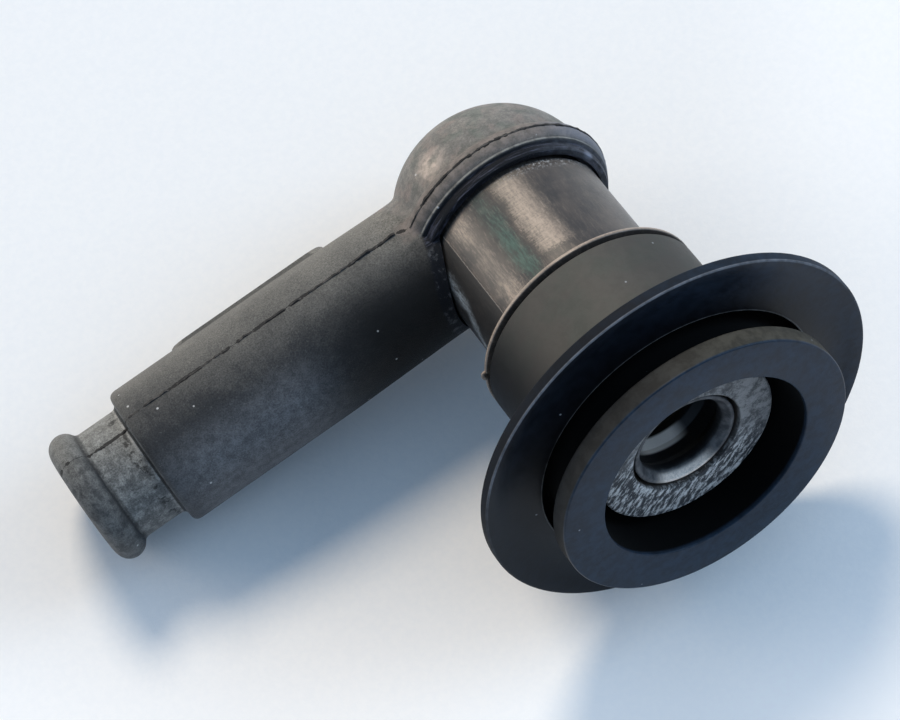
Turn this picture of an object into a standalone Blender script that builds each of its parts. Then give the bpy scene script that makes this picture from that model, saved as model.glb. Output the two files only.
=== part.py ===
"""Right-angle spark plug cap, lying on its side as it comes to rest.

A phenolic barrel holds the plug terminal, the resistor and the contact spring.
A rubber jacket covers the elbow and grips the lead, and a rubber seal with a
broad disc closes the hole in the engine's cooling cover.

Cap axes, used by every piece before the cap is laid down: +Z runs up the
barrel, away from the plug, +X runs along the arm towards the lead, and the
origin is where the two axes cross. A depth is measured from there towards the
plug, so a depth is a negative Z. A reach is measured along the arm.
"""

import math

import bpy
from mathutils import Matrix, Vector

# Fits
TOUCH = 0.0003            # gap between pieces that touch
PRESS_EDGE = 0.0004       # small chamfer on turned and moulded edges

# Facets around the large mouldings and around the small inner pieces
MOULDING_STEPS = 48
SMALL_STEPS = 24
ARC_STEPS = 5
SPRING_STEPS = 14
SHARP_ANGLE = math.radians(40)

# High-tension lead that the cap takes
LEAD_RADIUS = 0.0035
LEAD_EASE = 0.0001

# Phenolic barrel and its flange
BARREL_RADIUS = 0.0112
BARREL_MOUTH_BEVEL = 0.0003
FLANGE_RADIUS = 0.0139
FLANGE_DEPTH = 0.0196
FLANGE_THICKNESS = 0.0007
FLANGE_FLARE = 0.0018
HEAD_RADIUS = 0.0106
SPIGOT_RADIUS = 0.0060
SPIGOT_REACH = 0.0260
LEAD_STOP = 0.0085

# Stack inside the barrel, from the elbow down to the plug
CONTACT_DROP = 0.0024
CONTACT_RISE = 0.0026
SPRING_LENGTH = 0.0044
SPRING_RADIUS = 0.0021
SPRING_WIRE = 0.0003
SPRING_PITCH = 0.0011
ROD_LENGTH = 0.0088
ROD_RADIUS = 0.0024
ROD_CAP_WALL = 0.0004
ROD_CAP_FLOOR = 0.0005
ROD_CAP_SKIRT = 0.0020
STUD_REACH = 0.0008
STUD_RADIUS = 0.0019
WASHER_THICKNESS = 0.0010
TERMINAL_LENGTH = 0.0092
TERMINAL_RADIUS = 0.0050
TERMINAL_ROOF = 0.0012
SOCKET_RADIUS = 0.0033
CLIP_WIRE = 0.0003
CLIP_BITE = 0.00045
CLIP_HEIGHT = 0.0042
CLIP_WALL = 0.00065
SLEEVE_LENGTH = 0.0099
SLEEVE_RADIUS = 0.0066
SLEEVE_RIB_RADIUS = 0.0053
SLEEVE_VALLEY_RADIUS = 0.0060
SLEEVE_RECESS = 0.0004
SLEEVE_RIBS = 2

# Screw that bites into the lead's core
SCREW_SHANK = 0.0013
SCREW_CREST = 0.0019
SCREW_TIP = 0.0190
SCREW_POINT = 0.0030
SCREW_PITCH = 0.0014
SCREW_SEAT = 0.0020

# Rubber jacket: dome, bead and lip over the barrel. The dome is flattened and stands
# on a short upright wall. The bead's round shows between two angles, in degrees,
# above and below its centre.
DOME_RADIUS = 0.0131
DOME_RISE = 0.0012
DOME_HEIGHT = 0.0111
BEAD_RADIUS = 0.0136
BEAD_ROUND = 0.0018
BEAD_DEPTH = 0.0006
BEAD_ABOVE = 43
BEAD_BELOW = -72
LIP_STEP_RADIUS = 0.0124
JACKET_DEPTH = 0.0035

# Rubber jacket: arm, neck and rolled end
ARM_RADIUS = 0.0089
ARM_REACH = 0.0498
ARM_EDGE = 0.0010
NECK_RADIUS = 0.0071
NECK_LENGTH = 0.0056
ROLL_RADIUS = 0.0084
ROLL_THICKNESS = 0.0039
MOUTH_BEVEL = 0.0008
PAD_HEIGHT = 0.00045
PAD_LENGTH = 0.0214
PAD_WIDTH = 0.0110
PAD_SETBACK = 0.0090

# Rubber seal: sleeve, disc, groove for the cover's edge, and lip
SEAL_SLEEVE_RADIUS = 0.0139
SEAL_LIP_OVERHANG = 0.0041
SEAL_LIP_RADIUS = 0.0182
SEAL_LIP_THICKNESS = 0.0026
SEAL_LIP_ROUND = 0.0005
SEAL_MOUTH_RADIUS = 0.0130
SEAL_CAVITY_DEPTH = 0.0086
SEAL_NECK_RADIUS = 0.0155
SEAL_WALL_CLEARANCE = 0.0003
DISC_RADIUS = 0.0245
DISC_THICKNESS = 0.0014
DISC_SETBACK = 0.0066
DISC_DISH = 0.0005
DISC_INNER_RADIUS = 0.0174
RECESS_DEPTH = 0.0024
WEB_THICKNESS = 0.0016

# Depths and radii that follow from the sizes above
HEAD_SHOULDER = JACKET_DEPTH + TOUCH
CHAMBER_RADIUS = ROD_RADIUS + TOUCH + ROD_CAP_WALL + TOUCH
CONTACT_RADIUS = CHAMBER_RADIUS - TOUCH
SPRING_TOP = CONTACT_DROP + TOUCH
SPRING_BOTTOM = SPRING_TOP + SPRING_LENGTH
UPPER_CAP_TOP = SPRING_BOTTOM + TOUCH
ROD_TOP = UPPER_CAP_TOP + ROD_CAP_FLOOR + TOUCH
ROD_BOTTOM = ROD_TOP + ROD_LENGTH
LOWER_CAP_BOTTOM = ROD_BOTTOM + TOUCH + ROD_CAP_FLOOR
STUD_TOP = LOWER_CAP_BOTTOM + TOUCH
LEDGE_DEPTH = STUD_TOP + STUD_REACH
WASHER_TOP = LEDGE_DEPTH + TOUCH
WASHER_BOTTOM = WASHER_TOP + WASHER_THICKNESS
TERMINAL_TOP = WASHER_BOTTOM + TOUCH
TERMINAL_BOTTOM = TERMINAL_TOP + TERMINAL_LENGTH
SLEEVE_TOP = TERMINAL_BOTTOM + TOUCH
SLEEVE_BOTTOM = SLEEVE_TOP + SLEEVE_LENGTH
BARREL_END = SLEEVE_BOTTOM + SLEEVE_RECESS
FLANGE_FACE = FLANGE_DEPTH + FLANGE_THICKNESS
SEAL_TOP = FLANGE_FACE + SEAL_WALL_CLEARANCE
SEAL_FACE = BARREL_END + SEAL_LIP_OVERHANG
SEAL_CAVITY_FLOOR = SEAL_FACE - SEAL_CAVITY_DEPTH
DISC_DEPTH = SEAL_FACE - DISC_SETBACK
NECK_REACH = ARM_REACH + NECK_LENGTH
ARM_END = NECK_REACH + ROLL_THICKNESS
ROLL_ROUND = ROLL_THICKNESS / 2
RIM_ROUND = DISC_THICKNESS / 2
LEAD_MOUTH_RADIUS = LEAD_RADIUS + LEAD_EASE

# How a turned piece lies: about the barrel, or about the arm
ABOUT_BARREL = (0.0, 0.0, 0.0)
ABOUT_ARM = (0.0, math.pi / 2, 0.0)


def clear_scene():
    """Remove whatever objects the file holds."""
    for leftover in list(bpy.data.objects):
        bpy.data.objects.remove(leftover, do_unlink=True)


def make_collection(name):
    """Add a collection to the scene and return it."""
    collection = bpy.data.collections.new(name)
    bpy.context.scene.collection.children.link(collection)
    return collection


def finish(name, colour, roughness, metallic=0.0):
    """Return a Principled material of one plain finish."""
    material = bpy.data.materials.new(name)
    material.use_nodes = True
    shader = material.node_tree.nodes["Principled BSDF"]
    shader.inputs["Base Color"].default_value = (*colour, 1.0)
    shader.inputs["Roughness"].default_value = roughness
    shader.inputs["Metallic"].default_value = metallic
    material.diffuse_color = (*colour, 1.0)
    return material


def arc(centre, radius, start, end, steps=ARC_STEPS):
    """Return points on an arc in the (radius, height) plane, angles in degrees."""
    points = []
    for step in range(steps + 1):
        angle = math.radians(start + (end - start) * step / steps)
        points.append((centre[0] + radius * math.cos(angle), centre[1] + radius * math.sin(angle)))
    return points


class Builder:
    """Adds the cap's pieces and cutters under one empty that carries the cap axes."""

    def __init__(self):
        self.parts = make_collection("spark_plug_cap")
        self.cutters = make_collection("cutters")
        self.axes = bpy.data.objects.new("cap_axes", None)
        self.axes.empty_display_size = 0.01
        self.parts.objects.link(self.axes)

    def add(self, name, data, material=None, place=(0.0, 0.0, 0.0), turn=ABOUT_BARREL):
        """Add one object; without a material it is a cutter."""
        piece = bpy.data.objects.new(name, data)
        piece.parent = self.axes
        piece.location = place
        piece.rotation_euler = turn
        if material is None:
            self.cutters.objects.link(piece)
            piece.hide_render = True
            piece.display_type = "WIRE"
        else:
            self.parts.objects.link(piece)
            data.materials.append(material)
        return piece

    def turned(self, name, profile, material=None, turn=ABOUT_BARREL, closed=False, steps=MOULDING_STEPS):
        """Turn (radius, height) points, listed down the outer side, about a cap axis."""
        edges = [(index, index + 1) for index in range(len(profile) - 1)]
        if closed:
            edges.append((len(profile) - 1, 0))
        mesh = bpy.data.meshes.new(name)
        mesh.from_pydata([(radius, 0.0, height) for radius, height in profile], edges, [])
        piece = self.add(name, mesh, material, turn=turn)
        screw = piece.modifiers.new("turn", "SCREW")
        screw.axis = "Z"
        screw.steps = steps
        screw.render_steps = steps
        screw.use_merge_vertices = True
        screw.merge_threshold = 0.00001
        screw.use_smooth_shade = True
        return piece

    def box(self, name, low, high, material=None):
        """Add a box between two corners in cap axes."""
        bpy.ops.mesh.primitive_cube_add(size=1.0)
        cube = bpy.context.object
        mesh = cube.data
        bpy.data.objects.remove(cube)
        spans = [high[axis] - low[axis] for axis in range(3)]
        mesh.transform(Matrix.Diagonal((*spans, 1.0)))
        centre = [(high[axis] + low[axis]) / 2 for axis in range(3)]
        return self.add(name, mesh, material, place=centre)

    def cylinder(self, name, radius, bottom, top, material=None, turn=ABOUT_BARREL, steps=SMALL_STEPS):
        """Add a plain cylinder about a cap axis, between two heights on that axis."""
        bpy.ops.mesh.primitive_cylinder_add(vertices=steps, radius=radius, depth=top - bottom)
        rod = bpy.context.object
        mesh = rod.data
        bpy.data.objects.remove(rod)
        mesh.transform(Matrix.Translation((0.0, 0.0, (top + bottom) / 2)))
        mesh.shade_smooth()
        mesh.set_sharp_from_angle(angle=SHARP_ANGLE)
        return self.add(name, mesh, material, turn=turn)

    def wire(self, name, points, radius, material):
        """Add a round wire along a list of points."""
        curve = bpy.data.curves.new(name, "CURVE")
        curve.dimensions = "3D"
        curve.bevel_depth = radius
        curve.bevel_resolution = 2
        curve.use_fill_caps = True
        spline = curve.splines.new("POLY")
        spline.points.add(len(points) - 1)
        for index, point in enumerate(points):
            spline.points[index].co = (*point, 1.0)
        return self.add(name, curve, material)


def boolean(piece, operation, other):
    """Cut or join another object into a piece."""
    step = piece.modifiers.new(other.name, "BOOLEAN")
    step.operation = operation
    step.object = other
    step.solver = "EXACT"


def barrel_body(builder, material):
    """Phenolic moulding: head, barrel with its flange, stepped bore and lead spigot."""
    flare_start = FLANGE_DEPTH - FLANGE_FLARE
    flare_centre = (BARREL_RADIUS + FLANGE_FLARE, -flare_start)
    sleeve_bore = SLEEVE_RADIUS + TOUCH
    terminal_bore = TERMINAL_RADIUS + TOUCH
    profile = arc((0.0, 0.0), HEAD_RADIUS, 90, 0, 2 * ARC_STEPS)
    profile[0] = (0.0, HEAD_RADIUS)
    profile += [(HEAD_RADIUS, -HEAD_SHOULDER), (BARREL_RADIUS, -HEAD_SHOULDER)]
    profile += arc(flare_centre, FLANGE_FLARE, 180, 270)
    profile += [(FLANGE_RADIUS, -FLANGE_DEPTH), (FLANGE_RADIUS, -FLANGE_FACE), (BARREL_RADIUS, -FLANGE_FACE)]
    profile += [(BARREL_RADIUS, BARREL_MOUTH_BEVEL - BARREL_END), (BARREL_RADIUS - BARREL_MOUTH_BEVEL, -BARREL_END)]
    profile += [(sleeve_bore, -BARREL_END), (sleeve_bore, -TERMINAL_BOTTOM)]
    profile += [(terminal_bore, -TERMINAL_BOTTOM), (terminal_bore, -LEDGE_DEPTH)]
    profile += [(CHAMBER_RADIUS, -LEDGE_DEPTH), (CHAMBER_RADIUS, CONTACT_RISE + TOUCH)]
    profile += [(0.0, CONTACT_RISE + TOUCH)]
    body = builder.turned("barrel_body", profile, material)

    spigot_root = (CHAMBER_RADIUS + HEAD_RADIUS) / 2
    bore = LEAD_RADIUS + LEAD_EASE
    beyond = SPIGOT_REACH + BARREL_RADIUS
    spigot = builder.cylinder("spigot", SPIGOT_RADIUS, spigot_root, SPIGOT_REACH, None, ABOUT_ARM, MOULDING_STEPS)
    lead_bore = builder.cylinder("lead_bore", bore, LEAD_STOP, beyond, None, ABOUT_ARM)
    screw_way = builder.cylinder("screw_way", SCREW_SHANK + TOUCH, 0.0, beyond, None, ABOUT_ARM)
    boolean(body, "UNION", spigot)
    boolean(body, "DIFFERENCE", lead_bore)
    boolean(body, "DIFFERENCE", screw_way)
    return body


def jacket_head_profile():
    """Outer side of the jacket over the elbow: dome, half-round bead and lip."""
    bead_centre = (BEAD_RADIUS - BEAD_ROUND, -BEAD_DEPTH)
    round_points = arc((0.0, 0.0), 1.0, 90, 0, 2 * ARC_STEPS)
    profile = [(DOME_RADIUS * across, DOME_RISE + DOME_HEIGHT * up) for across, up in round_points]
    profile[0] = (0.0, DOME_RISE + DOME_HEIGHT)
    profile += arc(bead_centre, BEAD_ROUND, BEAD_ABOVE, BEAD_BELOW)
    profile += [(LIP_STEP_RADIUS, -BEAD_DEPTH - BEAD_ROUND)]
    profile += [(LIP_STEP_RADIUS, -JACKET_DEPTH), (0.0, -JACKET_DEPTH)]
    return profile


def jacket_arm_profile():
    """Outer side of the jacket's arm from its rolled end back to the elbow."""
    roll_centre = (ROLL_RADIUS - ROLL_ROUND, NECK_REACH + ROLL_ROUND)
    edge_centre = (ARM_RADIUS - ARM_EDGE, ARM_REACH - ARM_EDGE)
    profile = [(0.0, ARM_END)]
    profile += arc(roll_centre, ROLL_ROUND, 90, -90, 2 * ARC_STEPS)
    profile += [(NECK_RADIUS, NECK_REACH), (NECK_RADIUS, ARM_REACH)]
    profile += arc(edge_centre, ARM_EDGE, 90, 0)
    profile += [(ARM_RADIUS, 0.0), (0.0, 0.0)]
    return profile


def elbow_jacket(builder, material):
    """Rubber moulding over the elbow, with the arm that grips the lead."""
    jacket = builder.turned("elbow_jacket", jacket_head_profile(), material)
    arm = builder.turned("arm", jacket_arm_profile(), None, ABOUT_ARM)

    pad_end = ARM_REACH - PAD_SETBACK
    pad_start = pad_end - PAD_LENGTH
    pad_radius = ARM_RADIUS + PAD_HEIGHT
    pad_base = ARM_RADIUS / 2
    pad_low = (pad_start, -PAD_WIDTH / 2, pad_base)
    pad_high = (pad_end, PAD_WIDTH / 2, pad_radius + PAD_HEIGHT)
    pad_field = builder.box("pad_field", pad_low, pad_high)
    round_low = pad_start - PAD_HEIGHT
    round_high = pad_end + PAD_HEIGHT
    pad = builder.cylinder("pad", pad_radius, round_low, round_high, None, ABOUT_ARM, MOULDING_STEPS)
    boolean(pad, "INTERSECT", pad_field)

    inner_radius = HEAD_RADIUS + TOUCH
    hollow = arc((0.0, 0.0), inner_radius, 90, 0, 2 * ARC_STEPS)
    hollow[0] = (0.0, inner_radius)
    hollow += [(inner_radius, -JACKET_DEPTH), (BARREL_RADIUS + TOUCH, -JACKET_DEPTH)]
    hollow += [(BARREL_RADIUS + TOUCH, -JACKET_DEPTH - ARM_RADIUS), (0.0, -JACKET_DEPTH - ARM_RADIUS)]
    head_hollow = builder.turned("head_hollow", hollow)

    spigot_end = SPIGOT_REACH + TOUCH
    beyond = ARM_END + MOUTH_BEVEL
    way = [(0.0, beyond), (LEAD_MOUTH_RADIUS + 2 * MOUTH_BEVEL, beyond)]
    way += [(LEAD_MOUTH_RADIUS, ARM_END - MOUTH_BEVEL), (LEAD_MOUTH_RADIUS, spigot_end)]
    way += [(SPIGOT_RADIUS + TOUCH, spigot_end), (SPIGOT_RADIUS + TOUCH, 0.0), (0.0, 0.0)]
    lead_way = builder.turned("lead_way", way, None, ABOUT_ARM)

    boolean(jacket, "UNION", arm)
    boolean(jacket, "UNION", pad)
    boolean(jacket, "DIFFERENCE", head_hollow)
    boolean(jacket, "DIFFERENCE", lead_way)
    return jacket


def plug_seal(builder, material):
    """Rubber seal on the barrel: sleeve, dished disc, groove and lip round the plug."""
    grip = BARREL_RADIUS + SEAL_WALL_CLEARANCE
    edge = SEAL_LIP_ROUND
    rim_centre = (DISC_RADIUS - RIM_ROUND, -DISC_DEPTH)
    front_edge = -DISC_DEPTH - RIM_ROUND
    recess_floor = -DISC_DEPTH - RIM_ROUND + RECESS_DEPTH
    web_back = recess_floor + WEB_THICKNESS
    lip_back = -SEAL_FACE + SEAL_LIP_THICKNESS
    dish_radius = (DISC_RADIUS + DISC_INNER_RADIUS) / 2
    profile = [(grip, -SEAL_TOP), (SEAL_SLEEVE_RADIUS - edge, -SEAL_TOP)]
    profile += [(SEAL_SLEEVE_RADIUS, -SEAL_TOP - edge), (SEAL_SLEEVE_RADIUS, web_back + WEB_THICKNESS)]
    profile += [(SEAL_SLEEVE_RADIUS + WEB_THICKNESS / 2, web_back), (DISC_INNER_RADIUS, web_back)]
    profile += arc(rim_centre, RIM_ROUND, 90, -90)
    profile += [(dish_radius, front_edge + DISC_DISH), (DISC_INNER_RADIUS, front_edge)]
    profile += [(DISC_INNER_RADIUS, recess_floor), (SEAL_NECK_RADIUS, recess_floor)]
    profile += [(SEAL_NECK_RADIUS, lip_back), (SEAL_LIP_RADIUS - edge, lip_back)]
    profile += [(SEAL_LIP_RADIUS, lip_back - edge), (SEAL_LIP_RADIUS, edge - SEAL_FACE)]
    profile += [(SEAL_LIP_RADIUS - edge, -SEAL_FACE), (SEAL_MOUTH_RADIUS + edge, -SEAL_FACE)]
    profile += [(SEAL_MOUTH_RADIUS, edge - SEAL_FACE), (SEAL_MOUTH_RADIUS, -SEAL_CAVITY_FLOOR)]
    profile += [(grip, -SEAL_CAVITY_FLOOR)]
    return builder.turned("plug_seal", profile, material, closed=True)


def insulator_sleeve(builder, material):
    """Ribbed rubber sleeve in the barrel's mouth that grips the plug's insulator."""
    pitch = SLEEVE_LENGTH / SLEEVE_RIBS
    ramp = pitch / 5
    profile = [(SLEEVE_VALLEY_RADIUS, -SLEEVE_TOP), (SLEEVE_RADIUS, -SLEEVE_TOP)]
    profile += [(SLEEVE_RADIUS, -SLEEVE_BOTTOM)]
    for rib in range(SLEEVE_RIBS):
        mouth = -SLEEVE_BOTTOM + rib * pitch
        profile += [(SLEEVE_VALLEY_RADIUS, mouth), (SLEEVE_RIB_RADIUS, mouth + ramp)]
        profile += [(SLEEVE_RIB_RADIUS, mouth + 2 * ramp), (SLEEVE_VALLEY_RADIUS, mouth + 3 * ramp)]
    return builder.turned("insulator_sleeve", profile, material, closed=True, steps=MOULDING_STEPS)


def plug_terminal(builder, material):
    """Turned brass socket for the plug's nut, with a stud up to the resistor."""
    clip_room = CLIP_WIRE + TOUCH
    clip_depth = TERMINAL_BOTTOM - CLIP_HEIGHT
    groove_floor = SOCKET_RADIUS + CLIP_WALL
    mouth = SOCKET_RADIUS + PRESS_EDGE
    profile = [(0.0, -STUD_TOP), (STUD_RADIUS, -STUD_TOP), (STUD_RADIUS, -TERMINAL_TOP)]
    profile += [(TERMINAL_RADIUS, -TERMINAL_TOP), (TERMINAL_RADIUS, clip_room - clip_depth)]
    profile += [(groove_floor, clip_room - clip_depth), (groove_floor, -clip_room - clip_depth)]
    profile += [(TERMINAL_RADIUS, -clip_room - clip_depth), (TERMINAL_RADIUS, -TERMINAL_BOTTOM)]
    profile += [(mouth, -TERMINAL_BOTTOM), (SOCKET_RADIUS, PRESS_EDGE - TERMINAL_BOTTOM)]
    profile += [(SOCKET_RADIUS, -TERMINAL_TOP - TERMINAL_ROOF), (0.0, -TERMINAL_TOP - TERMINAL_ROOF)]
    terminal = builder.turned("plug_terminal", profile, material, steps=SMALL_STEPS)
    leg = clip_leg()
    for side, name in ((1, "clip_window_upper"), (-1, "clip_window_lower")):
        near = side * (leg - clip_room)
        far = side * TERMINAL_RADIUS
        low = (-TERMINAL_RADIUS, min(near, far), -clip_room - clip_depth)
        high = (TERMINAL_RADIUS, max(near, far), clip_room - clip_depth)
        boolean(terminal, "DIFFERENCE", builder.box(name, low, high))
    return terminal


def clip_leg():
    """Distance of each straight leg of the clip from the barrel's axis."""
    return SOCKET_RADIUS + CLIP_WIRE - CLIP_BITE


def terminal_clip(builder, material):
    """Spring wire in the socket's groove; its two legs cross the bore and grip the nut."""
    leg = clip_leg()
    bend = SOCKET_RADIUS + CLIP_WALL + TOUCH + CLIP_WIRE
    height = CLIP_HEIGHT - TERMINAL_BOTTOM
    swing = math.asin(leg / bend)
    tail = -bend * math.cos(swing)
    points = [(tail, leg, height), (0.0, leg, height)]
    bend_steps = 2 * ARC_STEPS
    for step in range(bend_steps + 1):
        angle = swing - 2 * swing * step / bend_steps
        points.append((bend * math.cos(angle), bend * math.sin(angle), height))
    points += [(0.0, -leg, height), (tail, -leg, height)]
    return builder.wire("terminal_clip", points, CLIP_WIRE, material)


def terminal_washer(builder, material):
    """Sealing washer between the terminal's shoulder and the barrel's ledge."""
    hole = STUD_RADIUS + TOUCH
    profile = [(hole, -WASHER_TOP), (TERMINAL_RADIUS, -WASHER_TOP)]
    profile += [(TERMINAL_RADIUS, -WASHER_BOTTOM), (hole, -WASHER_BOTTOM)]
    return builder.turned("terminal_washer", profile, material, closed=True, steps=SMALL_STEPS)


def resistor(builder, ceramic, plating):
    """Ceramic rod with a pressed cap on each end."""
    rod = builder.cylinder("resistor_rod", ROD_RADIUS, -ROD_BOTTOM, -ROD_TOP, ceramic)
    inner = ROD_RADIUS + TOUCH
    outer = inner + ROD_CAP_WALL
    skirt = ROD_CAP_FLOOR + TOUCH + ROD_CAP_SKIRT
    top = -UPPER_CAP_TOP
    upper = [(0.0, top), (outer, top), (outer, top - skirt), (inner, top - skirt)]
    upper += [(inner, top - ROD_CAP_FLOOR), (0.0, top - ROD_CAP_FLOOR)]
    bottom = -LOWER_CAP_BOTTOM
    lower = [(0.0, bottom + ROD_CAP_FLOOR), (inner, bottom + ROD_CAP_FLOOR), (inner, bottom + skirt)]
    lower += [(outer, bottom + skirt), (outer, bottom), (0.0, bottom)]
    upper_cap = builder.turned("resistor_cap_upper", upper, plating, steps=SMALL_STEPS)
    lower_cap = builder.turned("resistor_cap_lower", lower, plating, steps=SMALL_STEPS)
    return rod, upper_cap, lower_cap


def contact_spring(builder, material):
    """Coil spring that presses the resistor down on the terminal."""
    climb = SPRING_LENGTH - 2 * SPRING_WIRE
    turns = max(1, round(climb / SPRING_PITCH))
    steps = turns * SPRING_STEPS
    points = []
    for step in range(steps + 1):
        angle = 2 * math.pi * step / SPRING_STEPS
        height = SPRING_WIRE - SPRING_BOTTOM + climb * step / steps
        points.append((SPRING_RADIUS * math.cos(angle), SPRING_RADIUS * math.sin(angle), height))
    return builder.wire("contact_spring", points, SPRING_WIRE, material)


def elbow_contact(builder, material):
    """Brass block at the elbow that joins the lead's screw to the spring."""
    block = builder.cylinder("elbow_contact", CONTACT_RADIUS, -CONTACT_DROP, CONTACT_RISE, material)
    hole = builder.cylinder(
        "screw_hole", SCREW_SHANK + TOUCH, -SCREW_SEAT, 2 * CONTACT_RADIUS, None, ABOUT_ARM, SMALL_STEPS
    )
    boolean(block, "DIFFERENCE", hole)
    return block


def lead_screw(builder, material):
    """Pointed screw that the lead is turned on to; its thread is drawn as rings."""
    shank_end = LEAD_STOP + SCREW_PITCH / 2
    point_start = SCREW_TIP - SCREW_POINT
    rings = int((point_start - shank_end) / SCREW_PITCH)
    crest = SCREW_PITCH / 10
    flank = 4 * crest
    profile = [(0.0, SCREW_TIP), (SCREW_SHANK, point_start)]
    for ring in range(rings):
        base = point_start - ring * SCREW_PITCH
        profile += [(SCREW_CREST, base - flank), (SCREW_CREST, base - flank - crest)]
        profile += [(SCREW_SHANK, base - 2 * flank - crest)]
    seat = TOUCH - SCREW_SEAT
    profile += [(SCREW_SHANK, seat), (0.0, seat)]
    return builder.turned("lead_screw", profile, material, ABOUT_ARM, steps=SMALL_STEPS)


def touch_angle(reach, ring, drop):
    """Angle at which a ring far out along an axis meets a plane at a given drop."""
    return math.atan2(ring, reach) + math.asin(drop / math.hypot(reach, ring))


def resting_turn():
    """Rotation that lays the cap down on its disc, its bead and the end of its arm."""
    bead_ring = BEAD_RADIUS - BEAD_ROUND
    disc_ring = DISC_RADIUS - RIM_ROUND
    barrel_tilt = touch_angle(DISC_DEPTH - BEAD_DEPTH, disc_ring - bead_ring, RIM_ROUND - BEAD_ROUND)
    drop = BEAD_DEPTH * math.sin(barrel_tilt) - bead_ring * math.cos(barrel_tilt) - BEAD_ROUND
    roll_tilt = touch_angle(NECK_REACH + ROLL_ROUND, ROLL_RADIUS - ROLL_ROUND, drop + ROLL_ROUND)
    edge_tilt = touch_angle(ARM_REACH - ARM_EDGE, ARM_RADIUS - ARM_EDGE, drop + ARM_EDGE)
    arm_tilt = max(roll_tilt, edge_tilt)
    rise_x = math.sin(arm_tilt)
    rise_z = -math.sin(barrel_tilt)
    up = Vector((rise_x, math.sqrt(1.0 - rise_x ** 2 - rise_z ** 2), rise_z))
    towards_plug = Vector((0.0, 0.0, -1.0))
    ahead = (towards_plug - towards_plug.dot(up) * up).normalized()
    return Matrix((ahead.cross(up), ahead, up))


def settle(builder):
    """Lay the cap down, and put the world's origin under the middle of it."""
    builder.axes.rotation_euler = resting_turn().to_euler()
    bpy.context.view_layer.update()
    depsgraph = bpy.context.evaluated_depsgraph_get()
    low = Vector((math.inf, math.inf, math.inf))
    high = -low
    for piece in builder.parts.objects:
        if piece.type not in {"MESH", "CURVE"}:
            continue
        evaluated = piece.evaluated_get(depsgraph)
        mesh = evaluated.to_mesh()
        for vertex in mesh.vertices:
            corner = evaluated.matrix_world @ vertex.co
            low = Vector(map(min, low, corner))
            high = Vector(map(max, high, corner))
        evaluated.to_mesh_clear()
    middle = (low + high) / 2
    builder.axes.location = (-middle.x, -middle.y, -low.z)
    bpy.context.view_layer.update()


def main():
    """Build the cap."""
    clear_scene()
    builder = Builder()
    jacket_rubber = finish("jacket_rubber", (0.085, 0.080, 0.074), 0.85)
    phenolic = finish("phenolic", (0.100, 0.078, 0.062), 0.38)
    seal_rubber = finish("seal_rubber", (0.028, 0.031, 0.037), 0.55)
    sleeve_rubber = finish("sleeve_rubber", (0.055, 0.055, 0.060), 0.6)
    brass = finish("brass", (0.62, 0.47, 0.20), 0.35, 1.0)
    steel = finish("spring_steel", (0.55, 0.56, 0.58), 0.3, 1.0)
    plating = finish("tin_plate", (0.66, 0.66, 0.64), 0.35, 1.0)
    ceramic = finish("ceramic", (0.74, 0.70, 0.62), 0.6)
    fibre = finish("red_fibre", (0.36, 0.12, 0.07), 0.8)

    barrel_body(builder, phenolic)
    elbow_jacket(builder, jacket_rubber)
    plug_seal(builder, seal_rubber)
    insulator_sleeve(builder, sleeve_rubber)
    plug_terminal(builder, brass)
    terminal_clip(builder, steel)
    terminal_washer(builder, fibre)
    resistor(builder, ceramic, plating)
    contact_spring(builder, steel)
    elbow_contact(builder, brass)
    lead_screw(builder, brass)
    settle(builder)


main()
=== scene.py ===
"""Looks of a right-angle spark plug cap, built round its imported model.

The cap lies on its side on a pale sheet, on the rim of its seal's disc, the bead of
its elbow and the rolled end of its arm. Sizes are in millimetres in the cap's own
axes: +Z runs up the barrel, away from the plug, +X runs along the arm towards the
lead, and the origin is where the two axes cross.
"""

import logging
import math
from collections.abc import Callable
from dataclasses import dataclass, field
from enum import Enum
from functools import cached_property

import bpy
from mathutils import Matrix, Vector


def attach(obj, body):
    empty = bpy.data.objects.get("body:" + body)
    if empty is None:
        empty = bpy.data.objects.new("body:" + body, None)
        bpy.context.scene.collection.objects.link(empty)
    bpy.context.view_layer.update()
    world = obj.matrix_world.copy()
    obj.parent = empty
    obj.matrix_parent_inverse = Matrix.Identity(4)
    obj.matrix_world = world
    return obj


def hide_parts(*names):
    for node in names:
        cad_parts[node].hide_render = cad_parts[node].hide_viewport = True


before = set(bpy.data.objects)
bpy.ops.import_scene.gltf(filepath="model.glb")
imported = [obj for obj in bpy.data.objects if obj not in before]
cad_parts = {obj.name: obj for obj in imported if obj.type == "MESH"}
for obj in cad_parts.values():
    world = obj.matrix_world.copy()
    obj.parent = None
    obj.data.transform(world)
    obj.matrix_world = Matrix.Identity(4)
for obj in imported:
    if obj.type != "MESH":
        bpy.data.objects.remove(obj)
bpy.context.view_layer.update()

logging.basicConfig(level=logging.INFO, format="%(message)s")
log = logging.getLogger("spark_plug_cap")

MM = 0.001
MERGE_DISTANCE = 0.000002
EDGE_SHARE = 0.48

Corner = tuple[float, float, float]
Point = tuple[float, float]
Colour = tuple[float, float, float]
Place = tuple[float, float, float]
Span = tuple[float, float]
Thing = bpy.types.Object
Socket = bpy.types.NodeSocket
Value = Socket | float | Colour


def grey(tone: float) -> Colour:
    """Return a colour with its three parts alike."""
    return (tone, tone, tone)


class Axis(Enum):
    """The two axes of the cap that a turned form may lie about."""

    BARREL = "barrel"
    ARM = "arm"


class Cut(Enum):
    """How one solid is combined with another."""

    JOIN = "UNION"
    REMOVE = "DIFFERENCE"
    KEEP_SHARED = "INTERSECT"


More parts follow.
